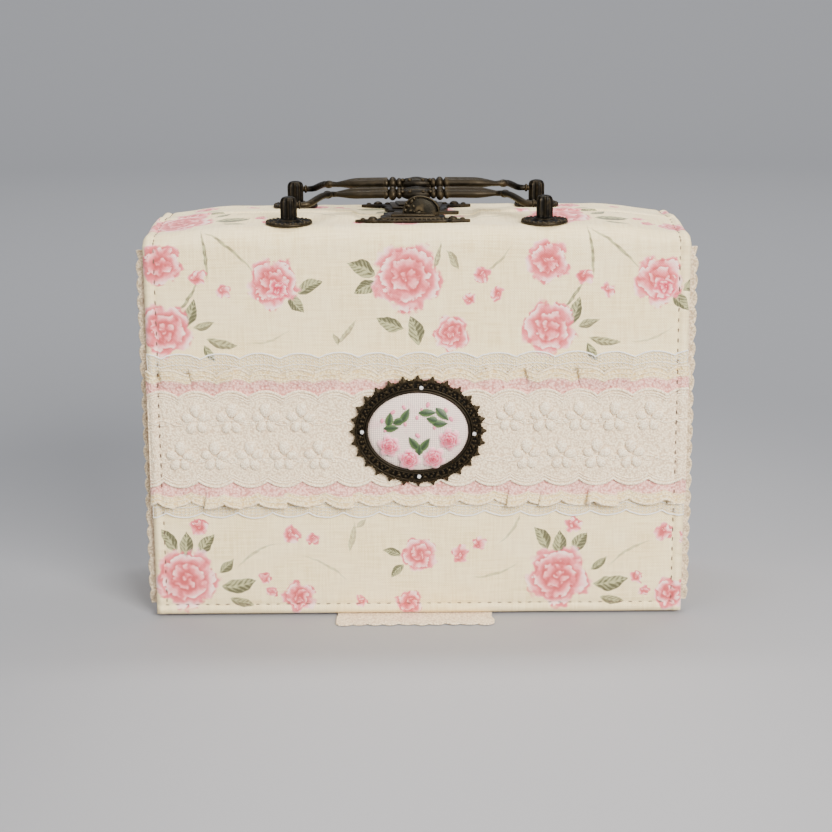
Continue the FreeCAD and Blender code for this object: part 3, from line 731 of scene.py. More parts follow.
PALE_RIBBON = ribbon("blush ribbon", (0.75, 0.22, 0.30), (0.87, 0.74, 0.72), 1.4)
GREEN_RIBBON = ribbon("green ribbon", (0.012, 0.035, 0.006), (0.07, 0.13, 0.03))
CRYSTAL = tiny_crystal()


def finish_piece(name, pieces, material, body, place, *nodes, angle=50):
    """Join, shade and coat a group of meshes, hang them on the body they ride on, and hide the model parts
    they stand for. The place argument is not used.
    """
    piece = join(name, pieces)
    round_off(piece, angle)
    if material:
        coat(piece, material)
    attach(piece, body)
    if nodes:
        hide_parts(*nodes)
    return piece


# ---------------------------------------------------------------- padded covers


POST_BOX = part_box("front_post_right")
POST_X = (POST_BOX[0][0] + POST_BOX[1][0]) / 2 / MM
POST_DEPTH = -(POST_BOX[0][1] + POST_BOX[1][1]) / 2 / MM


def end_droop(x):
    """How far the top of a flap drops towards its two ends."""
    return 3.6 * smooth(72, 112, abs(x)) ** 1.2


def top_height(x, depth, seed=0.0):
    """The height of the flap's upper side: crowned to the split, drooping to the ends."""
    crown = 1.5 * smooth(24, 4, depth)
    droop = end_droop(x)
    loose = 0.35 * rough(x, depth + seed, 0, 0.035) + 0.15 * rough(x, depth + seed, 3, 0.11)
    plate = smooth(27, 23, abs(x)) * smooth(28, 24.5, depth)
    ring = smooth(13, 9.5, math.hypot(abs(x) - POST_X, depth - POST_DEPTH))
    pressed = max(plate, ring)
    free = FLAP_TOP + crown - droop + loose
    return free + (FLAP_TOP - 0.15 - free) * pressed


# The outer skin runs up the face, round the bend and over the top to the split.
BEND_START = FLAP_TOP - BEND - HEM
BEND_RUN = BEND * math.pi / 2
TOP_RUN = FACE - BEND - SPLIT
SKIN_RUN = BEND_START + BEND_RUN + TOP_RUN


def outer_path(x, run, seed=0.0):
    """A point on the outer skin (depth, height) and its outward direction."""
    wave = 0.25 * rough(x, run + seed, 1, 0.03) + 0.12 * rough(x, run + seed, 2, 0.09)
    if run <= BEND_START:
        swell = 0.5 * smooth(0, 20, run) * smooth(112, 90, abs(x))
        return FACE - 0.6 + swell + wave, HEM + run, 1.0, 0.0
    droop = end_droop(x)
    if run <= BEND_START + BEND_RUN:
        turn = (run - BEND_START) / BEND
        lift = droop * smooth(0, 1, turn)
        depth = FACE - BEND + BEND * math.cos(turn) - (0.1 - wave) * math.cos(turn)
        flat = top_height(x, FACE - BEND, seed) - FLAP_TOP + droop
        height = FLAP_TOP - BEND + BEND * math.sin(turn) - lift + flat * smooth(0.6, 1.5, turn)
        return depth, height, math.cos(turn), math.sin(turn)
    depth = FACE - BEND - (run - BEND_START - BEND_RUN)
    return depth, top_height(x, depth, seed), 0.0, 1.0


def inner_path(run):
    """The point on the inner skin that faces the same place on the outer skin."""
    corner = FLAP_BOTTOM - 1.5
    if run <= BEND_START:
        return INNER_FACE, HEM + run * (corner - HEM) / BEND_START
    if run <= BEND_START + BEND_RUN:
        turn = (run - BEND_START) / BEND
        step = (FLAP_BOTTOM - corner) * math.sin(turn)
        return INNER_FACE - 1.2 * (1 - math.cos(turn)), corner + step
    share = (run - BEND_START - BEND_RUN) / TOP_RUN
    depth = INNER_FACE - 1.2
    return depth + (SPLIT - depth) * share, FLAP_BOTTOM


def rim_fill(inset, width):
    """How full a padded board is at a distance in from its edge."""
    t = min(max(inset / width, 0), 1)
    return math.sqrt(1 - (1 - t) ** 2)


def stitch_dip(x, run):
    """The channel that the edge stitching pulls into the padding, with a pit at each stitch."""
    side = HALF_WIDTH - abs(x)
    pit = 0.5 + 0.5 * math.cos(TAU * run / STITCH_PITCH)
    dip = math.exp(-((side - STITCH_INSET) / 0.75) ** 2) * (0.45 + 0.3 * pit)
    if run < 3 * STITCH_INSET:
        pit = 0.5 + 0.5 * math.cos(TAU * x / STITCH_PITCH)
        dip = max(dip, math.exp(-((run - STITCH_INSET) / 0.75) ** 2) * (0.45 + 0.3 * pit))
    roll = 0.35 * math.exp(-((side - 2.2) / 1.4) ** 2) + 0.35 * math.exp(-((run - 2.2) / 1.4) ** 2)
    return roll - dip


def board_fill(x, run):
    """How full a cover is at a place: 1 inside, rounding off to nothing at its edges."""
    side = HALF_WIDTH - abs(x)
    return rim_fill(side, 2.4) * rim_fill(run, 2.4) * rim_fill(SKIN_RUN - run, 2.6)


def skin(x, run, lift=0.0, seed=0.0):
    """A place on the finished outer cloth, raised by a lift: (x, depth, height)."""
    depth, height, out_depth, out_height = outer_path(x, run, seed)
    inner_depth, inner_height = inner_path(run)
    fill = board_fill(x, run)
    middle = ((depth + inner_depth) / 2, (height + inner_height) / 2)
    extra = stitch_dip(x, run) * fill + lift
    return (
        x,
        middle[0] + (depth - middle[0]) * fill + extra * out_depth,
        middle[1] + (height - middle[1]) * fill + extra * out_height,
    )


def lining_skin(x, run, seed=0.0):
    """A place on the lining, lightly quilted: (x, depth, height)."""
    depth, height, _, _ = outer_path(x, run, seed)
    inner_depth, inner_height = inner_path(run)
    fill = board_fill(x, run)
    middle = ((depth + inner_depth) / 2, (height + inner_height) / 2)
    quilt = 0.35 * math.cos(TAU * x / 22) * math.cos(TAU * run / 22) - 0.35
    return (
        x,
        middle[0] + (inner_depth - middle[0]) * fill + quilt * 0.4 * (run < BEND_START),
        middle[1] + (inner_height - middle[1]) * fill,
    )


def ends_dense(low, high, step, edge=6.0):
    """Places from low to high, closer together near both ends."""
    close = [0, 0.12, 0.35, 0.7, 1.1, 1.6, 2.2, 2.8, 3.4, 3.9, 4.5, 5.1, edge]
    middle = spread(low + edge, high - edge, step)
    return [low + c for c in close[:-1]] + middle + [high - c for c in reversed(close[:-1])]


def cover_pad(half, sign):
    """One padded cover and its top flap in a single cloth, sewn round the edge."""
    across = ends_dense(-HALF_WIDTH, HALF_WIDTH, 1.4)
    face = ends_dense(0, BEND_START, 1.6)[:-12]
    bend = spread(face[-1], BEND_START + BEND_RUN, 1.2)[1:]
    top = ends_dense(BEND_START + BEND_RUN, SKIN_RUN, 1.4)[13:]
    along = face + bend + top
    seed = RIPPLE_SEED[half]

    def outside(x, run):
        x, depth, height = skin(x, run, seed=seed)
        return x, sign * depth, height

    def inside(x, run):
        x, depth, height = lining_skin(x, run, seed)
        return x, sign * depth, height

    shift = 0 if half == "front" else 61
    outer = surface("outer", across, along, outside, lambda x, r: (-sign * x + shift, r))
    coat(outer, ROSE_CLOTH)
    inner = coat(surface("inner", across, along, inside, lambda x, r: (x, r)), LINING)
    piece = tidy_mesh(join(f"{half}_cover_pad", [outer, inner]), 0.02)
    round_off(piece, 60)
    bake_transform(piece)
    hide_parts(f"{half}_cover", f"{half}_flap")
    return piece


def cover_stitches(half, sign):
    """Short dark stitches round the edge of a cover and up the sides of its flap."""
    seed = RIPPLE_SEED[half]
    spots = []
    side = HALF_WIDTH - STITCH_INSET
    for run in spread(STITCH_INSET + STITCH_PITCH / 2, SKIN_RUN - 5, STITCH_PITCH):
        spots += [(-side, run, 0), (side, run, 0)]
    for x in spread(-side, side, STITCH_PITCH):
        spots.append((x, STITCH_INSET, 1))
    lower, upper = [], []
    for x, run, flat in spots:
        _, depth, height = skin(x, run, 0.12 + lace_cover(run), seed)
        _, _, out_depth, out_height = outer_path(x, run, seed)
        turn = (math.pi / 2 if flat else 0) + random.uniform(-0.12, 0.12)
        up = Vector((0, -sign * out_height, out_depth)) if out_height > 0.5 else Vector((0, 0, 1))
        matrix = aim(
            (x, sign * depth, height), (0, sign * out_depth, out_height), up=up,
            size=random.uniform(0.9, 1.1), turn=turn,
        )
        (upper if height > FLAP_BOTTOM else lower).append(matrix)
    for label, body, matrices in (("cover", "cover", lower), ("flap", "flap", upper)):
        bpy.ops.mesh.primitive_uv_sphere_add(segments=6, ring_count=4, radius=1)
        stitch = bpy.context.object
        for vertex in stitch.data.vertices:
            vertex.co = Vector((vertex.co.x * 0.28, vertex.co.y * 1.05, vertex.co.z * 0.24)) * MM
        piece = stamp(f"{half}_{label}_stitches", stitch, matrices)
        coat(round_off(piece, 80), BROWN_THREAD)
        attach(piece, f"{half}_{body}")


# ---------------------------------------------------------------- lace across the covers


LACE_PITCH = 14.2
LACE_START = -90.3
IVORY_LOW = LACE_LOW.z - HEM
IVORY_HIGH = LACE_HIGH.z - HEM
SCALLOP = 3.0


def lace_cover(run):
    """How far the lace stands over the cloth at a height, for what is sewn on top of it."""
    if IVORY_LOW < run < IVORY_HIGH:
        return 1.75
    if IVORY_LOW - 8 < run < IVORY_HIGH + 8:
        return 1.6
    return 0.45 if IVORY_LOW - 15 < run < IVORY_HIGH + 15 else 0

def within(x):
    """A place across a cover, kept just inside its two ends."""
    return max(min(x, HALF_WIDTH - END_GAP), -HALF_WIDTH + END_GAP)

def lobe(x, start, pitch):
    """A row of rounded scallops: 0 in the notches, 1 at the middle of each lobe."""
    share = ((x - start) / pitch) % 1.0
    return math.sin(math.pi * share) ** 0.7


def pleats(seed):
    """Places and sizes of the pleats along a frill, uneven as a hand gathers them."""
    draw = random.Random(seed)
    places = []
    x = -HALF_WIDTH + draw.uniform(6, 12)
    while x < HALF_WIDTH - 4:
        places.append((x, draw.uniform(1.7, 2.9), draw.choice((-1, 1))))
        x += draw.uniform(9, 25)
    return places


def pleated(x, folds):
    """How a pleated strip lies at a place along its cloth: sideways shift and lift."""
    shift = lift = 0.0
    for place, width, side in folds:
        t = (x - place) / width
        if abs(t) > 6:
            continue
        shift -= 1.15 * width * 2.33 * t * math.exp(-t * t) * 0.8
        lift += smooth(-1.0, 1.0, t * side) * math.exp(-((t * side - 1) / 3.6) ** 2 * (t * side > 1))
    return shift, lift


def lace_sheet(name, half, sign, low, high, lift, columns, rows, material, thick):
    """A strip of lace laid over a cover from edge to edge. low and high give its two outlines."""
    seed = RIPPLE_SEED[half]
    across = ends_dense(-HALF_WIDTH - 0.2, HALF_WIDTH + 0.2, columns)
    along = [n / rows for n in range(rows + 1)]

    def place(x, share):
        run = low(x) + (high(x) - low(x)) * share
        inside = within(x)
        _, depth, height = skin(inside, run, lift(x, share), seed)
        return x, sign * depth, height

    piece = surface(name, across, along, place, lambda x, share: (x, share))
    tidy_mesh(piece, 0, True)
    apply_modifier(piece, "SOLIDIFY", thickness=thick * MM, offset=0)
    coat(round_off(piece, 70), material)
    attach(piece, f"{half}_cover")
    return piece


def ivory_lace(half, sign):
    """The wide cotton lace: scalloped both sides, with padded rims, stems and raised flowers."""
    def low(x):
        return IVORY_LOW + 1.5 - SCALLOP * lobe(x, LACE_START, LACE_PITCH)

    def high(x):
        return IVORY_HIGH - 1.5 + SCALLOP * lobe(x, LACE_START + LACE_PITCH / 2, LACE_PITCH)

    def lift(x, share):
        ridge = 0.25 * abs(math.sin(TAU * share * 1.5))
        return 1.15 + ridge + 0.25 * rough(x, share * 30, 5, 0.12)

    piece = lace_sheet(
        f"{half}_ivory_lace", half, sign, low, high, lift, 1.2, 24, IVORY_LACE, 0.5
    )
    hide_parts(f"{half}_flower_lace")

    seed = RIPPLE_SEED[half]

    def at(x, run, raise_by):
        inside = within(x)
        _, depth, height = skin(inside, run, raise_by, seed)
        return x, sign * depth, height

    cords = []
    span = spread(-HALF_WIDTH, HALF_WIDTH, 0.9)
    for edge, inward in ((low, 1), (high, -1)):
        for inset, radius in ((0.5, 0.62), (1.9, 0.42), (3.0, 0.32)):
            path = [at(x, edge(x) + inward * inset, 1.55) for x in span]
            cords.append(tube("rim", path, radius, 6))
    row_high = IVORY_LOW + 27.2
    row_low = IVORY_LOW + 11.4
    for row, offset in ((row_high, 0), (row_low, -LACE_PITCH / 2)):
        for step in (-1.0, 1.0):
            path = [
                at(x, row - 1.2 + step * math.cos(TAU * (x - LACE_START - offset) / LACE_PITCH), 1.5)
                for x in span
            ]
            cords.append(tube("stem", path, 0.36, 6))
    rims = join(f"{half}_lace_cords", cords)
    coat(round_off(rims, 80), RAISED_THREAD)
    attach(rims, f"{half}_cover")

    bpy.ops.mesh.primitive_uv_sphere_add(segments=10, ring_count=6, radius=1)
    petal = bpy.context.object
    for vertex in petal.data.vertices:
        x, y, z = vertex.co
        wide = 1.75 * (1 + 0.22 * y)
        vertex.co = Vector((x * wide, y * 2.3 + 2.95, z * 0.95 + 0.15)) * MM
    matrices = []
    outward = (0, sign, 0)
    for row, offset in ((row_high, 0.0), (row_low, -LACE_PITCH / 2)):
        for x in spread(LACE_START + offset, LACE_START + offset + 13 * LACE_PITCH, LACE_PITCH):
            beside = math.hypot(x / 34.5, (HEM + row - BROOCH_MIDDLE) / 29.5)
            covered = half == "front" and beside < 1
            if abs(x) > HALF_WIDTH - 7 or covered:
                continue
            spot = at(x, row, 1.45)
            for degrees in (0, 72, -72, 146, -146):
                turn = math.radians(degrees) + random.uniform(-0.07, 0.07)
                grow = 1.38 if degrees == 0 else random.uniform(1.12, 1.24)
                matrices.append(aim(spot, outward, size=grow, turn=turn))
            for drop in (-1, 1):
                side = at(x + drop * LACE_PITCH / 2, row - 1.2, 1.45)
                if abs(side[0]) < HALF_WIDTH - 6 and not (half == "front" and abs(side[0]) < 30):
                    matrices.append(aim(side, outward, size=0.45, turn=math.pi / 2 * drop))
    flowers = stamp(f"{half}_lace_flowers", petal, matrices)
    coat(round_off(flowers, 80), RAISED_THREAD)
    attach(flowers, f"{half}_cover")


def frill(half, sign, upper):
    """The gathered crochet beside the ivory lace: a pink heading and a cream scalloped edge."""
    face = 1 if upper else -1
    start = IVORY_HIGH - 3.5 if upper else IVORY_LOW + 3.5
    reach = 13.8 if upper else 13.2
    pitch = 13.0 if upper else 13.8
    seed = RIPPLE_SEED[half]
    name = "upper" if upper else "lower"
    folds = pleats(f"{half} {name} frill")

    def place(x, share, raise_by=0.0):
        edge = reach - 2.8 + 2.8 * lobe(x, -107, pitch) + 0.7 * rough(x, seed, 4, 0.05)
        run = start + face * edge * share
        loose = smooth(0.2, 1.0, share)
        if half == "front":
            loose *= 0.25 + 0.75 * smooth(22, 30, abs(x))
        shift, fold = pleated(x, folds)
        ripple = 0.3 * math.sin(x * 0.55 + 2 * rough(x, share, 1, 0.05)) + 0.5 * rough(x, share, 6, 0.13)
        inside = within(x + shift * loose)
        rise = 0.5 + 0.35 * share + loose * (2.0 * fold + 0.6 * ripple) + raise_by
        _, depth, height = skin(inside, run, rise, seed)
        return inside * (1 + 0.6 / HALF_WIDTH), sign * depth, height

    across = spread(-HALF_WIDTH - 0.2, HALF_WIDTH + 0.2, 0.55)
    piece = surface(f"{half}_{name}_frill", across, [n / 14 for n in range(15)], place)
    tidy_mesh(piece, 0, True)
    apply_modifier(piece, "SOLIDIFY", thickness=0.6 * MM, offset=0)
    coat(round_off(piece, 70), FRILL)
    rims = [tube("rim", [place(x, 1.0, 0.1) for x in across], 0.55, 6),
            tube("row", [place(x, 0.84, 0.25) for x in across], 0.3, 6),
            tube("row", [place(x, 0.7, 0.25) for x in across], 0.3, 6)]
    edge = finish_piece(f"{half}_{name}_frill_edge", rims, EDGE_YARN, f"{half}_cover", "crochet_trim",
                        angle=80)
    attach(piece, f"{half}_cover")
    if upper:
        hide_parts(f"{half}_crochet_trim")


def net_edge(half, sign, upper):
    """Fine net lace outside the frill: open mesh with a corded wavy rim."""
    face = 1 if upper else -1
    start = IVORY_HIGH + 4.5 if upper else IVORY_LOW - 3.5
    reach = 12.1 if upper else 11.1
    pitch = 16.0 if upper else 14.6
    seed = 3.1 if upper else 4.7
    skin_seed = RIPPLE_SEED[half]

    def far(x):
        edge = reach - 2.4 + 2.4 * lobe(x, -104, pitch) + 0.6 * rough(x, seed, 2, 0.05)
        return start + face * edge

    def place(x, share):
        run = start + (far(x) - start) * share
        run += 0.18 * rough(x, run, seed, 0.9)
        inside = within(x)
        waft = 0.25 + 0.35 * share * (1 + rough(x, share, seed, 0.15))
        _, depth, height = skin(inside, run, waft, skin_seed)
        return x + 0.25 * rough(x, run, seed + 5, 0.8), sign * depth, height

    name = "upper" if upper else "lower"
    across = spread(-HALF_WIDTH + 0.3, HALF_WIDTH - 0.3, 1.7)
    along = [n / 8 for n in range(9)]
    net = surface(f"{half}_{name}_net", across, along, place, lambda x, share: (x, share))
    edit_all(net)
    bpy.ops.mesh.quads_convert_to_tris(quad_method="FIXED_ALTERNATE", ngon_method="BEAUTY")
    bpy.ops.object.mode_set(mode="OBJECT")
    apply_modifier(net, "WIREFRAME", thickness=0.30 * MM, use_even_offset=False, use_boundary=True)
    rims = []
    for share, radius in ((1.0, 0.34), (0.62, 0.16)):
        path = [place(x, share) for x in spread(-HALF_WIDTH + 0.3, HALF_WIDTH - 0.3, 0.9)]
        rims.append(tube("rim", path, radius, 6))
    piece = join(f"{half}_{name}_net", [net, *rims])
    coat(piece, NET_THREAD)
    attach(piece, f"{half}_cover")
    if upper:
        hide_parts(f"{half}_net_lace")


BROOCH_MIDDLE = (BROOCH_LOW.z + BROOCH_HIGH.z) / 2
EDGE_YARN = stitched_lace("cream crochet rim", (0.68, 0.50, 0.28), (0.96, 0.83, 0.57), 1.6)


# ---------------------------------------------------------------- brooch


def ball(radius, wide=1.0, deep=1.0, tall=1.0, segments=10, rings=7):
    """A small bead to be stamped, stretched along its own axes."""
    bpy.ops.mesh.primitive_uv_sphere_add(segments=segments, ring_count=rings, radius=radius * MM)
    bead = bpy.context.object
    for vertex in bead.data.vertices:
        vertex.co = Vector((vertex.co.x * wide, vertex.co.y * deep, vertex.co.z * tall))
    return bead


def oval(wide, tall, depth, count, start=0.0):
    """Places round an oval in the brooch's plane."""
    return [
        (wide * math.cos(start + TAU * n / count), -depth,
         BROOCH_MIDDLE + tall * math.sin(start + TAU * n / count))
        for n in range(count)
    ]


def brooch_surround():
    """Pierced dark bronze oval: rings, beads, small loops and pointed picots."""
    back = -BROOCH_HIGH.y
    front = -BROOCH_LOW.y
    plate = surface(
        "plate", spread(0, TAU, TAU / 112), [0, 0.25, 0.5, 0.75, 1],
        lambda turn, share: (
            (19.8 + 5.9 * share) * math.cos(turn), -(back + 0.9 - 0.25 * share),
            BROOCH_MIDDLE + (15.9 + 5.3 * share) * math.sin(turn),
        ),
    )
    tidy_mesh(plate, 0.01)
    apply_modifier(plate, "SOLIDIFY", thickness=0.8 * MM, offset=0)
    parts = [
        plate,
        tube("ring", oval(21.1, 16.8, front - 0.6, 96), 0.62, 10, True),
        tube("ring", oval(22.2, 17.8, front - 0.9, 96), 0.36, 8, True),
        tube("ring", oval(25.3, 20.8, front - 1.0, 112), 0.4, 8, True),
    ]
    toward = (0, -1, 0)
    beads = [aim(spot, toward, size=1.0 if n % 2 else 0.72)
             for n, spot in enumerate(oval(23.9, 19.5, front - 0.9, 56))]
    parts.append(stamp("beads", ball(0.85, 1, 1, 0.8, 8, 5), beads))
    small = [aim(spot, toward) for spot in oval(26.1, 21.5, front - 1.1, 56, TAU / 112)]
    parts.append(stamp("edge beads", ball(0.62, 1, 1, 0.9, 8, 5), small))
    inner = [aim(spot, toward) for spot in oval(23.0, 18.6, front - 0.95, 70, TAU / 140)]
    parts.append(stamp("inner beads", ball(0.5, 1, 1, 0.9, 8, 5), inner))
    bpy.ops.mesh.primitive_torus_add(
        major_radius=1.0 * MM, minor_radius=0.28 * MM, major_segments=12, minor_segments=6
    )
    loops = [aim(spot, toward) for spot in oval(24.8, 20.4, front - 0.55, 28, TAU / 56)]
    parts.append(stamp("loops", bpy.context.object, loops))
    bpy.ops.mesh.primitive_cone_add(vertices=6, radius1=1.5 * MM, radius2=0.35 * MM, depth=2.2 * MM)
    spikes = []
    for n in range(28):
        turn = TAU * n / 28
        spot = (26.9 * math.cos(turn), -(front - 1.15), BROOCH_MIDDLE + 22.3 * math.sin(turn))
        outward = Vector((22.3 * math.cos(turn), 0, 26.9 * math.sin(turn)))
        spikes.append(aim(spot, outward, up=Vector((0, 1, 0))))
    parts.append(stamp("picots", bpy.context.object, spikes))
    finish_piece("brooch_surround", parts, BRONZE, "front_cover", "bronze", "brooch_frame")
    stones = [
        aim((x, -(front - 0.1), BROOCH_MIDDLE + z), toward)
        for x, z in ((1.4, 18.4), (0.3, -18.9), (-22.9, 0), (22.9, -1))
    ]
    bpy.ops.mesh.primitive_ico_sphere_add(subdivisions=1, radius=0.95 * MM)
    gems = stamp("brooch_paste_stones", bpy.context.object, stones)
    finish_piece("brooch_paste_stones", [gems], CRYSTAL, "front_cover", "woven_stone", angle=10)


STONE_FRONT = -STONE_LOW.y
STONE_BACK = -STONE_HIGH.y


def dome_depth(x, z):
    """How far out the padded canvas stands at a place measured from its middle."""
    share = min((x / 20.6) ** 2 + (z / 16.6) ** 2, 1)
    return STONE_BACK + (STONE_FRONT - STONE_BACK) * math.sqrt(1 - share) ** 0.9


def brooch_canvas():
    stone = surface(
        "stone", spread(0, TAU, TAU / 96), spread(0, 1, 1 / 22),
        lambda turn, share: (
            20.6 * share * math.cos(turn),
            -dome_depth(20.6 * share * math.cos(turn), 16.6 * share * math.sin(turn)),
            BROOCH_MIDDLE + 16.6 * share * math.sin(turn),
        ),
    )
    tidy_mesh(stone, 0.01)
    apply_modifier(stone, "SOLIDIFY", thickness=0.5 * MM, offset=-1)
    piece = finish_piece(
        "brooch_canvas", [stone], CANVAS, "front_cover", "woven_stone", "brooch_stone", angle=80
    )


def petal(centre, heart_turn, reach, inner, width, lift, curl):
    """One ribbon petal: it starts near the heart, spreads, and rolls back at its rim."""
    x0, z0 = centre
    base = dome_depth(x0, z0)

    def place(side, share):
        turn = heart_turn + side * width * (0.55 + 0.45 * math.sin(math.pi * min(share + 0.25, 1)))
        radius = inner + (reach - inner) * share
        radius *= 1 - 0.12 * side * side * share
        x = x0 + radius * math.cos(turn)
        z = z0 + radius * math.sin(turn)
        rise = lift * (1 - share * share) + 0.35 * math.sin(math.pi * share) - curl * share ** 4
        rise += 0.12 * math.cos(side * 5)
        return x, -(min(base, dome_depth(x, z) + 0.9) + 0.35 + rise), BROOCH_MIDDLE + z

    return surface(
        "petal", spread(-1, 1, 0.25), spread(0, 1, 0.2), place, lambda side, share: (side, share)
    )


def ribbon_flowers():
    """Ribbon roses in an arc, with leaves above them and buds between."""
    roses = []
    for n, (x, z) in enumerate(((-11.8, -5.4), (-3.7, -11.0), (6.3, -10.4), (12.6, -2.8))):
        size = (5.0, 4.9, 5.1, 5.0)[n]
        for count, reach, inner, width, lift, curl in (
            (6, size, 1.7, 0.66, 0.7, 0.55), (5, size * 0.74, 1.0, 0.74, 1.25, 0.2),
            (4, size * 0.48, 0.45, 0.9, 1.75, 0.0), (3, size * 0.27, 0.1, 1.1, 2.1, -0.1),
        ):
            for k in range(count):
                turn = n + TAU * k / count + random.uniform(-0.12, 0.12) + count
                roses.append(petal((x, z), turn, reach, inner, width, lift, curl))
    piece = join("brooch_ribbon_roses", roses)
    apply_modifier(piece, "SOLIDIFY", thickness=0.14 * MM, offset=0)
    finish_piece(
        "brooch_ribbon_roses", [piece], ROSE_RIBBON, "front_cover", "rose_ribbon",
        "brooch_roses", angle=80,
    )
    leaves = []
    for x, z, turn, length in (
        (-11.6, 5.6, 80, 2.6), (-5.2, 7.2, 60, 2.9), (-10.9, 2.1, 5, 2.6), (3.8, 8.5, 0, 3.0),
        (9.8, 7.8, -45, 3.0), (8.9, 3.9, 0, 2.6), (-1.8, -4.3, 125, 2.8), (2.7, -4.9, 55, 2.9),
        (-7.6, 5.0, 20, 2.2), (5.8, 5.6, 165, 2.0), (0.4, -7.0, 90, 2.0),
    ):
        across = math.radians(turn)
        length *= 1.22

        def place(share, side):
            wide = 1.55 * (1 - share ** 2) * (1 - 0.3 * share) * side
            px = x + length * share * math.cos(across) - wide * math.sin(across)
            pz = z + length * share * math.sin(across) + wide * math.cos(across)
            rise = 0.3 + 0.35 * (1 - share ** 2) - 0.25 * abs(side) * (1 - share ** 2)
            return px, -(dome_depth(px, pz) + rise), BROOCH_MIDDLE + pz

        leaves.append(surface("leaf", spread(-1, 1, 0.2), spread(-1, 1, 0.34), place,
                              lambda share, side: (share, abs(side))))
    piece = join("brooch_ribbon_leaves", leaves)
    apply_modifier(piece, "SOLIDIFY", thickness=0.22 * MM, offset=0)
    finish_piece("brooch_ribbon_leaves", [piece], GREEN_RIBBON, "front_cover", "rose_ribbon", angle=80)
    buds = []
    for x, z, size in (
        (-14.6, 5.0, 0.9), (-10.2, 8.6, 1.0), (-5.7, 10.6, 0.9), (4, 11.6, 1.0), (11.3, 9.3, 0.9),
        (13.4, 5.6, 1.0), (-5.2, 3.7, 0.8), (-0.4, 6.5, 0.8), (-0.2, -1.0, 1.0), (6.6, 2.2, 0.7),
        (-13.3, 1.0, 0.7), (1.6, 9.6, 0.7),
    ):
        spot = (x, -(dome_depth(x, z) + 0.15), BROOCH_MIDDLE + z)
        buds.append(aim(spot, (0, -1, 0), size=size, turn=random.uniform(-1, 1)))
    buds = stamp("brooch_ribbon_buds", ball(1.0, 0.8, 1.25, 0.55), buds)
    finish_piece("brooch_ribbon_buds", [buds], PALE_RIBBON, "front_cover", "rose_ribbon")


# ---------------------------------------------------------------- bronze fittings


def lathe(name, profile, centre, flute=0.0, flutes=12, sides=72, low=-1e9, high=1e9):
    """A turned shape about an upright axis; flutes are cut between two heights."""
    x0, y0 = centre

    def place(turn, n):
        radius, height = profile[int(n)]
        if low <= height <= high:
            radius *= 1 - flute * (0.5 + 0.5 * math.cos(flutes * turn)) ** 0.6
        return x0 + radius * math.cos(turn), y0 + radius * math.sin(turn), height

    piece = surface(name, spread(0, TAU, TAU / sides), list(range(len(profile))), place)
    return tidy_mesh(piece, 0.004)


def post_and_rosette(half, hand):
    """A domed, fluted post on a dished washer with a beaded rim."""
    low, high = box_mm(f"{half}_post_{hand}")
    x = (low.x + high.x) / 2
    y = (low.y + high.y) / 2
    foot = FLAP_TOP - 0.1
    top = high.z
    shank = low.z
    profile = [
        (0.001, shank), (1.5, shank), (1.5, foot), (3.0, foot), (4.4, foot + 0.9), (4.4, foot + 1.9),
        (3.7, foot + 2.3), (3.45, foot + 2.6), (3.5, foot + 3.4), (3.5, foot + 5.0), (3.5, foot + 6.6),
        (3.5, top - 2.4), (3.4, top - 1.7), (3.1, top - 1.0), (2.5, top - 0.45), (1.5, top - 0.1),
        (0.7, top), (0.001, top),
    ]
    post = lathe("post", profile, (x, y), 0.17, 10, 80, foot + 2.5, top - 0.9)
    finish_piece(
        f"{half}_fluted_post_{hand}", [post], BRONZE, f"{half}_flap", "bronze",
        f"{half}_post_{hand}", angle=55,
    )
    profile = [
        (3.2, foot), (9.2, foot), (9.55, foot + 0.35), (9.55, foot + 0.8), (9.2, foot + 1.25),
        (8.6, foot + 1.45), (8.0, foot + 1.3), (7.6, foot + 0.9), (7.0, foot + 0.75),
        (5.6, foot + 0.8), (4.9, foot + 1.2), (4.4, foot + 1.7), (3.2, foot + 1.7),
    ]
    disc = lathe("disc", profile, (x, y))
    beads = [
        aim((x + 8.75 * math.cos(TAU * n / 26), y + 8.75 * math.sin(TAU * n / 26), foot + 1.25),
            (0, 0, 1), up=Vector((0, 1, 0)), turn=TAU * n / 26)
        for n in range(26)
    ]
    rim = stamp("rim", ball(0.62, 1.1, 1.25, 0.8, 8, 6), beads)
    spokes = [
        aim((x + 6.6 * math.cos(TAU * n / 18), y + 6.6 * math.sin(TAU * n / 18), foot + 0.85),
            (0, 0, 1), up=Vector((0, 1, 0)), turn=TAU * n / 18)
        for n in range(18)
    ]
    petals = stamp("petals", ball(0.5, 1.9, 0.9, 0.6, 8, 6), spokes)
    finish_piece(
        f"{half}_washer_{hand}", [disc, rim, petals], BRONZE, f"{half}_flap", "bronze",
        f"{half}_rosette_{hand}", angle=50,
    )


BAIL_REACH = 20.8
BAIL_RISE = {"front": math.radians(4), "rear": math.radians(12)}
PIVOT = box_mm("front_bail")[0].z + 1.1


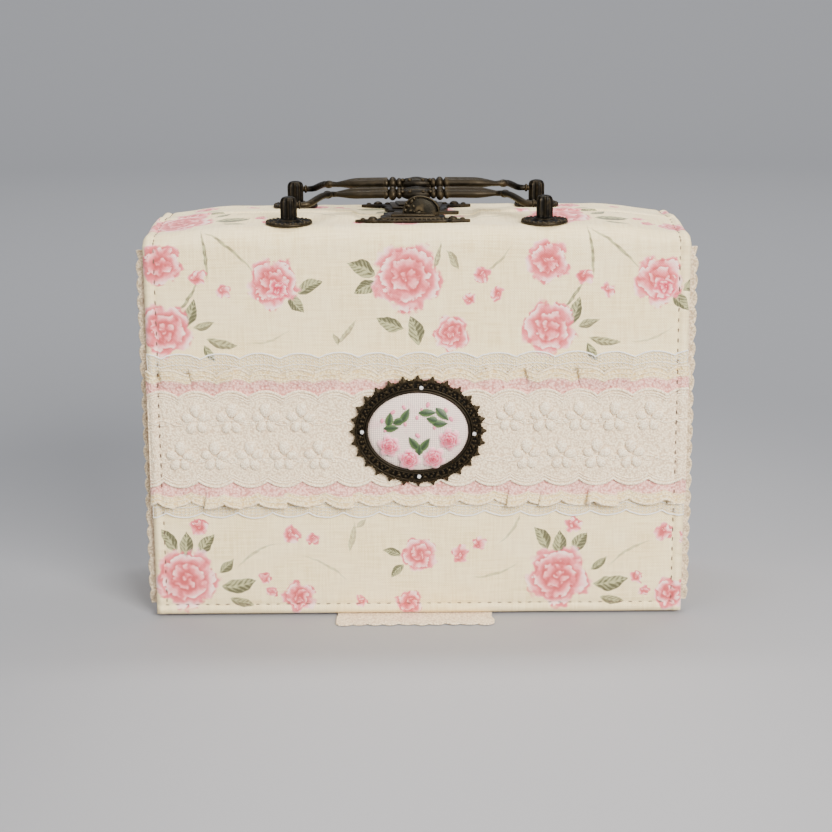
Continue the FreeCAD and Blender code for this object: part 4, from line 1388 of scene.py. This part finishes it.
def drop_handle(half, sign):
    """A bail: pins, swept arms, a reeded grip, paired collars and an oval boss."""
    rise = BAIL_RISE[half]

    def at(x, reach, up=0.0):
        depth = POST_DEPTH - reach * math.cos(rise) + up * math.sin(rise)
        return x, sign * depth, PIVOT + reach * math.sin(rise) + up * math.cos(rise)

    def out(up_share):
        return (0, sign * up_share * math.sin(rise), math.cos(rise))

    parts = []
    for side in (-1, 1):
        arm = [
            (50.4, 0, 0), (46.5, 0, 0), (44.6, 0.25, 0.05), (43.2, 1.4, 0.25), (41.8, 4.2, 0.6),
            (40.2, 8.2, 0.9), (38.6, 12.4, 1.0), (36.8, 16.4, 0.7), (34.6, 19.4, 0.3), (32, 20.6, 0.0),
        ]
        path = [at(side * x, reach, up) for x, reach, up in arm]
        parts.append(tube("arm", path, 1.35, 12, taper=lambda t: 0.8 + 0.25 * math.sin(math.pi * t)))
        for offset, height in ((-2.35, -0.1), (0.0, 0.75), (2.35, -0.1)):
            reed = []
            for n in range(23):
                share = n / 22
                x = 36.2 - share * 24.2
                gap = smooth(-0.05, 0.5, share)
                crown = height * gap + 0.5 * math.sin(share * math.pi / 2)
                reed.append(at(side * x, BAIL_REACH + offset * gap * 0.95 - 0.4 * (1 - gap), crown))
            parts.append(tube("reed", reed, 1.75, 10, taper=lambda t: 0.45 + 0.55 * smooth(0, 0.5, t)))
        knots = [
            aim(at(side * x, BAIL_REACH + offset, up), out(1), up=Vector((0, 1, 0)), size=size)
            for x, size in ((12.6, 1.1), (9.8, 1.35), (7.1, 1.05))
            for offset, up in ((-2.4 * size, 0.2), (0, 0.9), (2.4 * size, 0.2))
        ]
        parts.append(stamp("knots", ball(1.5, 0.85, 1.0, 1.15, 12, 8), knots))
        knuckle = [aim(at(side * 36.6, 18.1, 0.4), out(1), up=Vector((0, 1, 0)), turn=side * 0.6)]
        parts.append(stamp("knuckle", ball(1.75, 1.35, 1.0, 0.95, 12, 8), knuckle))
        collar = [aim(at(side * 47.3, 0, 0), (1, 0, 0), up=Vector((0, 0, 1)))]
        parts.append(stamp("pin collar", ball(1.75, 1, 1, 0.5, 12, 8), collar))
    middle = [aim(at(0, BAIL_REACH, 0.2), out(1), up=Vector((0, 1, 0)))]
    parts.append(stamp("boss", ball(1.0, 7.2, 4.1, 2.8, 24, 14), middle))
    ring = [at(4.6 * math.cos(TAU * n / 32), BAIL_REACH + 2.35 * math.sin(TAU * n / 32), 2.0)
            for n in range(32)]
    parts.append(tube("boss ring", ring, 0.5, 8, True))
    parts.append(stamp("cabochon", ball(1.0, 4.0, 1.9, 1.5, 20, 10),
                       [aim(at(0, BAIL_REACH, 1.7), out(1), up=Vector((0, 1, 0)))]))
    scrolls = [
        aim(at(x, BAIL_REACH + reach, 1.5), out(1), up=Vector((0, 1, 0)), turn=x)
        for x in (-5.6, -2.6, 2.6, 5.6) for reach in (-3.0, 3.0)
    ]
    parts.append(stamp("scrolls", ball(1.0, 1.1, 0.8, 0.8), scrolls))
    finish_piece(f"{half}_drop_handle", parts, BRONZE, f"{half}_bail", "bronze", f"{half}_bail")


def cast_plate(name, outline, low, high, bevel=0.3):
    """A cast plate: an outline from above, in x and y, filled and given a soft edge."""
    bpy.ops.mesh.primitive_circle_add(vertices=len(outline), radius=MM, fill_type="NGON")
    piece = bpy.context.object
    piece.name = name
    for vertex, (x, y) in zip(piece.data.vertices, outline):
        vertex.co = Vector((x, y, high)) * MM
    tidy_mesh(piece, 0, True)
    apply_modifier(piece, "SOLIDIFY", thickness=(high - low) * MM, offset=-1, use_even_offset=True)
    tidy_mesh(piece, 0, True)
    low_now = min(v.co.z for v in piece.data.vertices)
    for vertex in piece.data.vertices:
        vertex.co.z += low * MM - low_now
    apply_modifier(piece, "BEVEL", width=bevel * MM, segments=2, limit_method="ANGLE")
    return piece


def clasp_fittings(half, sign):
    """The pierced clasp plate with pointed ends, knuckles and a stepped block."""
    low, high = box_mm(f"{half}_clasp_plate")
    front = sign * max(abs(low.y), abs(high.y))
    shift = -1.6 if half == "front" else 0.0
    edge = [
        (23.6, 2.6), (19.5, 1.6), (17.6, 0.8), (16.0, 0.3), (14.2, 0.9), (13.0, 0.2), (9.5, 0.0),
        (5.0, 0.5), (0.0, 0.0), (-5.0, 0.5), (-9.5, 0.0), (-13.0, 0.2), (-14.2, 0.9), (-16.0, 0.3),
        (-17.6, 0.8), (-19.5, 1.6), (-23.6, 2.6), (-19.0, 4.2), (-16.0, 4.6), (-13.8, 5.8),
        (-12.6, 9.5), (-13.4, 13.5), (-11.4, 17.5), (-12.2, 21.5), (-9.5, 23.6), (9.5, 23.6),
        (12.2, 21.5), (11.4, 17.5), (13.4, 13.5), (12.6, 9.5), (13.8, 5.8), (16.0, 4.6), (19.0, 4.2),
    ]
    outline = [(x + shift, front - sign * d) for x, d in edge]
    step = low.z + 1.3
    parts = [cast_plate("plate", outline, low.z - 0.2, step)]
    row = front - sign * 9.5
    for wide, deep, bottom, top in (
        (11.5, 8.4, step - 0.1, step + 0.8), (9.0, 5.8, step + 0.7, step + 1.7),
    ):
        block = [
            (shift + wide, row - deep), (shift + wide - 1.5, row + deep), (shift - wide + 1.5, row + deep),
            (shift - wide, row - deep),
        ]
        if sign > 0:
            block = [(x, 2 * row - y) for x, y in block]
        parts.append(cast_plate("block", block, bottom, top, 0.45))
    knots = [
        aim((shift + x, front - sign * d, step), (0, 0, 1), up=Vector((0, 1, 0)), size=size)
        for x, d, size in (
            (-16.3, 2.5, 1.25), (16.3, 2.5, 1.25), (-20.2, 2.6, 0.7), (20.2, 2.6, 0.7),
            (-12.2, 2.2, 0.8), (12.2, 2.2, 0.8), (0, 1.6, 0.8),
        )
    ]
    parts.append(stamp("knots", ball(1.35, 1.15, 1.0, 0.75, 12, 8), knots))
    scroll = [
        aim((shift + x, front - sign * 1.2, step - 0.2), (0, 0, 1), up=Vector((0, 1, 0)))
        for x in spread(-11, 11, 1.9)
    ]
    parts.append(stamp("scroll", ball(0.75, 1.0, 1.0, 0.8, 8, 6), scroll))
    finish_piece(
        f"{half}_pierced_plate", parts, BRONZE, f"{half}_flap", "bronze", f"{half}_clasp_plate"
    )


def thumb_turn():
    """The turn button: a rounded ear on a short foot, plain on one side and scrolled on the other."""
    low, high = box_mm("turn_knob")
    y = (low.y + high.y) / 2
    foot = low.z
    outline = []
    for n in range(33):
        turn = math.pi * n / 32
        wide = 8.0 if turn < math.pi / 2 else 6.6
        outline.append((1.2 + wide * math.cos(turn), 7.9 * math.sin(turn) ** 0.8))

    def ear_place(n, share):
        """Across and up on the ear, which narrows a little towards both faces."""
        x, tall = outline[int(n)]
        crown = 1 - share * share
        return 0.9 + (x - 0.9) * (0.80 + 0.2 * crown), tall * (0.86 + 0.14 * crown)

    ear = surface(
        "ear", list(range(33)), spread(-1, 1, 0.125),
        lambda n, share: (
            ear_place(n, share)[0], y - 1.9 * share, foot + 1.4 + ear_place(n, share)[1],
        ),
    )
    edit_all(ear)
    bpy.ops.mesh.region_to_loop()
    bpy.ops.mesh.edge_face_add()
    bpy.ops.object.mode_set(mode="OBJECT")
    parts = [ear]
    for share in (-1, 1):
        face = surface(
            "face", list(range(33)), spread(0, 1, 0.2),
            lambda n, share_in, side=share: (
                0.9 + (ear_place(n, side)[0] - 0.9) * share_in,
                y - side * (1.9 + 0.55 * (1 - share_in ** 2)),
                foot + 1.4 + 2.2 + (ear_place(n, side)[1] - 2.2) * share_in,
            ),
        )
        parts.append(face)
    edge = [(outline[n][0], y - 1.75, foot + 1.4 + outline[n][1] * 0.97) for n in range(33)]
    parts.append(tube("edge", edge, 0.38, 8))
    knots = []
    for x, z, size in ((-4.6, 1.8, 1.0), (-3.4, 3.6, 1.1), (-2.0, 5.4, 1.0), (-4.2, 4.6, 0.7),
                       (-2.6, 1.6, 0.9), (-1.2, 3.4, 0.9), (-0.9, 6.6, 0.8), (-1.0, 1.4, 0.7)):
        knots.append(aim((x, y - 2.1, foot + 1.6 + z), (0, -1, 0), size=size, turn=x))
    parts.append(stamp("scrolls", ball(0.8, 1.3, 0.9, 0.8), knots))
    profile = [(0.001, foot), (3.4, foot), (3.9, foot + 0.5), (3.6, foot + 1.1), (2.6, foot + 1.7),
               (2.2, foot + 3.0), (0.001, foot + 3.0)]
    parts.append(lathe("foot", profile, (0.6, y)))
    piece = join("thumb_turn", parts)
    tidy_mesh(piece, 0.0, True)
    finish_piece("thumb_turn", [piece], KNOB_BRONZE, "latch", "bronze", "turn_knob")


# Lighter bronze for the turn button, with the same painted highlight on its convex edges.
KNOB_BRONZE = old_bronze("knob bronze", (0.085, 0.062, 0.032), (0.012, 0.010, 0.006), 0.35)


# ---------------------------------------------------------------- side boards, edging, straps, trays


def side_pad(hand, side):
    """A side board in the same print, padded a little and rolled at its edges."""
    low, high = box_mm(f"side_board_{hand}")
    inner, outer = sorted((abs(low.x), abs(high.x)))
    middle = (inner + outer) / 2
    across = ends_dense(low.y, high.y, 1.8, 5.0)
    top = FLAP_BOTTOM - 0.8
    along = ends_dense(low.z - 0.5, top, 2.0, 5.0)

    def place(skin_x, swell):
        def spot(y, z):
            edge = min(high.y - abs(y), z - along[0], top - z)
            fill = rim_fill(edge, 1.6)
            puff = swell * smooth(0, 14, edge) + 0.15 * rough(y, z, side * 5, 0.05) * (swell > 0)
            seam = 0.3 * math.exp(-((edge - STITCH_INSET) / 0.8) ** 2) * (swell > 0)
            x = middle + (skin_x - middle) * fill + (puff - seam) * fill
            pull = 0.3 + 1.1 * smooth(9, 3.5, z) + 2.6 * smooth(top - 5, top, z)
            return side * x, y * (1 - pull / high.y), z
        return spot

    skins = []
    for skin_x, swell, cloth in ((outer, 0.7, ROSE_CLOTH), (inner, 0.0, LINING)):
        sheet = surface("skin", across, along, place(skin_x, swell),
                        lambda y, z: (side * y + (30 if side > 0 else -52), z))
        skins.append(coat(sheet, cloth))
    piece = tidy_mesh(join(f"side_pad_{hand}", skins), 0.02)
    round_off(piece, 60)
    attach(piece, "base")
    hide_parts(f"side_board_{hand}")


def crochet_edging(hand, side):
    """Scalloped crochet along both upright edges of a side board."""
    low, high = box_mm(f"side_edging_{hand}")
    reach = max(abs(low.x), abs(high.x))
    root = 106.8
    strips = []
    for front in (-1, 1):
        depth = high.y - 0.75
        along = spread(4.5, SIDE_HIGH.z + 1.5, 0.7)

        def place(share, z):
            edge = reach - 0.9 + 1.3 * lobe(z, 3.0 * front, 7.0) + 0.3 * rough(z, front, side, 0.2)
            x = root + (edge - root) * share
            wave = 0.5 * share * math.sin(TAU * z / 7.0 + front) + 0.3 * rough(z, share, side, 0.3)
            tuck = 1.3 * smooth(10, 4.5, z) + 2.2 * smooth(SIDE_HIGH.z - 5, SIDE_HIGH.z + 1.5, z)
            return side * x, front * (depth + wave - tuck), z

        strip = surface("strip", [n / 6 for n in range(7)], along, place,
                        lambda share, z: (share, z))
        tidy_mesh(strip, 0, True)
        apply_modifier(strip, "SOLIDIFY", thickness=1.1 * MM, offset=0)
        rim = [place(1.0, z) for z in along]
        strips += [strip, tube("rim", rim, 0.62, 6)]
        knots = [aim(place(0.55, z), (0, front, 0)) for z in spread(6, SIDE_HIGH.z, 2.33)]
        strips.append(stamp("knots", ball(0.75, 1.2, 0.8, 1.3, 8, 5), knots))
    piece = finish_piece(f"crochet_edging_{hand}", strips, EDGING_YARN, "base", "crochet_edging",
                         f"side_edging_{hand}", angle=80)


def lace_strap(half, sign):
    """The lace tab that runs out from under the hem and lies on the table."""
    low, high = box_mm(f"{half}_hinge_strap")
    reach = max(abs(low.y), abs(high.y))
    start = min(abs(low.y), abs(high.y))
    shift = -2.0 if half == "front" else 1.0
    across = spread(low.x, high.x, 0.8)

    def far(x):
        return reach - 2.4 + 1.6 * lobe(x, 0, 6.5) + 0.8 * rough(x, sign, 0, 0.12)

    def place(x, share):
        depth = start + (far(x) - start) * share
        ripple = 0.25 + 0.25 * rough(x, depth, sign, 0.18)
        return x + shift + 1.2 * rough(depth, x, 3, 0.2), sign * depth, 0.42 + ripple * share

    sheet = surface("strap", across, spread(0, 1, 1 / 24), place, lambda x, share: (x, share))
    tidy_mesh(sheet, 0, True)
    apply_modifier(sheet, "SOLIDIFY", thickness=0.4 * MM, offset=0)
    parts = [sheet, tube("rim", [place(x, 1.0) for x in across], 0.42, 6)]
    for share in (0.93, 0.8):
        parts.append(tube("cord", [place(x, share) for x in across], 0.3, 6))
    piece = finish_piece(f"{half}_lace_strap", parts, IVORY_LACE, "base", "hinge_fabric",
                         f"{half}_hinge_strap", angle=80)


def tray_lining(name, body):
    """A thin quilted pad in the bottom of a tray."""
    low, high = box_mm(name)
    across = ends_dense(low.x, high.x, 2.4, 6.0)
    along = ends_dense(low.y, high.y, 2.0, 6.0)

    def place(base, rise):
        def spot(x, y):
            edge = min(x - low.x, high.x - x, y - low.y, high.y - y)
            fill = rim_fill(edge, 2.0)
            quilt = abs(math.sin(TAU * (x + y) / 26)) * abs(math.sin(TAU * (x - y) / 26))
            height = base + rise * fill * (0.5 + 0.9 * quilt ** 0.5)
            return x, y, height
        return spot

    sheets = [surface("top", across, along, place(low.z + 0.1, 1.3), lambda x, y: (x, y)),
              surface("under", across, along, place(low.z + 0.1, 0.0), lambda x, y: (x, y))]
    piece = tidy_mesh(join(f"{name}_quilt", sheets), 0.02)
    finish_piece(f"{name}_quilt", [piece], LINING, body, "lining_pad", name, angle=80)


# ---------------------------------------------------------------- the finished box


random.seed(20)
for half, sign in HALVES:
    cover_pad(half, sign)
    net_edge(half, sign, True)
    net_edge(half, sign, False)
    frill(half, sign, True)
    frill(half, sign, False)
    ivory_lace(half, sign)
    cover_stitches(half, sign)
    for hand, side in HANDS:
        post_and_rosette(half, hand)
    drop_handle(half, sign)
    clasp_fittings(half, sign)
    lace_strap(half, sign)
    tray_lining(f"{half}_middle_tray_pad", f"{half}_middle_tray")
    tray_lining(f"{half}_upper_tray_pad", f"{half}_upper_tray")
for hand, side in HANDS:
    side_pad(hand, side)
    crochet_edging(hand, side)
tray_lining("fixed_tray_pad", "base")
thumb_turn()
brooch_surround()
brooch_canvas()
ribbon_flowers()

NODE_FINISH = (
    (("fixed_tray", "middle_tray", "upper_tray"), CHECKED_PAPER),
    (("rivets", "nuts"), BRASS),
    (("arm",), STEEL),
    (("bottom_board",), BOARD_CLOTH),
    (("latch", "knob", "plate", "post", "rosette", "bail", "brooch_frame"), BRONZE),
    (("side_board", "hinge_strap", "pad"), BOARD_CLOTH),
)
for name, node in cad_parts.items():
    if node.type != "MESH":
        continue
    for words, material in NODE_FINISH:
        if any(word in name for word in words) and not name.endswith("_pad"):
            for place in node.material_slots:
                place.material = material


# ---------------------------------------------------------------- floor, light and camera


def studio():
    """A pale sweep: a round floor that curves up into the backdrop on every side."""
    reach, bend, rise = 2.6, 1.0, 2.4
    profile = [(0.0, 0.0), (0.5, 0.0), (reach - bend, 0.0)]
    for n in range(1, 25):
        turn = math.pi / 2 * n / 24
        profile.append((reach - bend + bend * math.sin(turn), bend - bend * math.cos(turn)))
    profile.append((reach, rise))
    floor = surface(
        "studio_sweep", spread(0, TAU, TAU / 96), list(range(len(profile))),
        lambda turn, n: (
            profile[n][0] * math.cos(turn) / MM, profile[n][0] * math.sin(turn) / MM,
            profile[n][1] / MM,
        ),
    )
    tidy_mesh(floor, 0.01, False)
    round_off(floor, 60)
    shader = Shader("pale studio paper")
    place = put(shader.tree, "TexCoord", out=3)
    grain = noise_map(shader.tree, place, 90.0, 3.0)
    # The paper darkens with distance from a spot just behind the box: a painted pool of light with painted
    # falloff towards the sides and the backdrop.
    away = vector_calc(shader.tree, "MULTIPLY", place, (1.5, 0.9, 1.0))
    away = vector_calc(shader.tree, "SUBTRACT", away, (0.06, -0.2, 0.0))
    fade = remap(shader.tree, vector_calc(shader.tree, "LENGTH", away, out=1), 0.05, 0.6)
    tone = blend_colour(shader.tree, fade, (0.345, 0.342, 0.354), (0.175, 0.179, 0.191))
    shader.set(Base_Color=tone, Roughness=0.9)
    shader.set(Normal=bump(shader.tree, grain, 0.0004, 0.08))
    coat(floor, shader.material)


def soft_light(name, place, target, size, power, colour=(1, 1, 1)):
    data = bpy.data.lights.new(name, "AREA")
    data.shape = "RECTANGLE"
    data.size, data.size_y = size
    data.energy = power
    data.color = colour
    lamp = bpy.data.objects.new(name, data)
    bpy.context.collection.objects.link(lamp)
    lamp.location = place
    lamp.rotation_euler = (Vector(target) - Vector(place)).to_track_quat("-Z", "Y").to_euler()


WHITE = (1, 1, 1)
LIGHTS = (
    ("overhead", (-0.25, -0.55, 1.5), (0, 0, 0.05), (1.3, 1.0), 9, WHITE),
    ("front light", (0.75, -1.45, 0.85), (0, 0, 0.08), (0.9, 0.8), 74, (1.0, 0.975, 0.94)),
    ("left fill", (-1.1, -1.0, 0.6), (0, 0, 0.08), (0.9, 0.9), 9, WHITE),
    ("backdrop", (0.1, 0.6, 1.9), (0.0, 2.2, 0.5), (1.6, 0.8), 86, WHITE),
)
CAMERA_PLACE = (-0.00066, -0.78875, 0.27685)
CAMERA_DOWN, CAMERA_SWING, CAMERA_ROLL, CAMERA_LENS = 0.248, -0.004, -0.006, 82.08

def lights_and_camera():
    for name, place, target, size, power, colour in LIGHTS:
        soft_light(name, place, target, size, power, colour)
    world = bpy.context.scene.world or bpy.data.worlds.new("studio air")
    bpy.context.scene.world = world
    world.use_nodes = True
    world.node_tree.nodes["Background"].inputs[0].default_value = (0.95, 0.96, 1.0, 1)
    world.node_tree.nodes["Background"].inputs[1].default_value = 0.24

    data = bpy.data.cameras.new("camera")
    data.sensor_width = 36
    data.lens = CAMERA_LENS
    data.dof.use_dof = False
    data.clip_start, data.clip_end = 0.02, 20
    camera = bpy.data.objects.new("camera", data)
    bpy.context.collection.objects.link(camera)
    swing = Matrix.Rotation(CAMERA_SWING, 4, "Z")
    tilt = Matrix.Rotation(math.pi / 2 - CAMERA_DOWN, 4, "X")
    tilt = tilt @ Matrix.Rotation(CAMERA_ROLL, 4, "Z")
    camera.matrix_world = swing @ Matrix.Translation(CAMERA_PLACE) @ tilt
    bpy.context.scene.camera = camera


studio()
lights_and_camera()
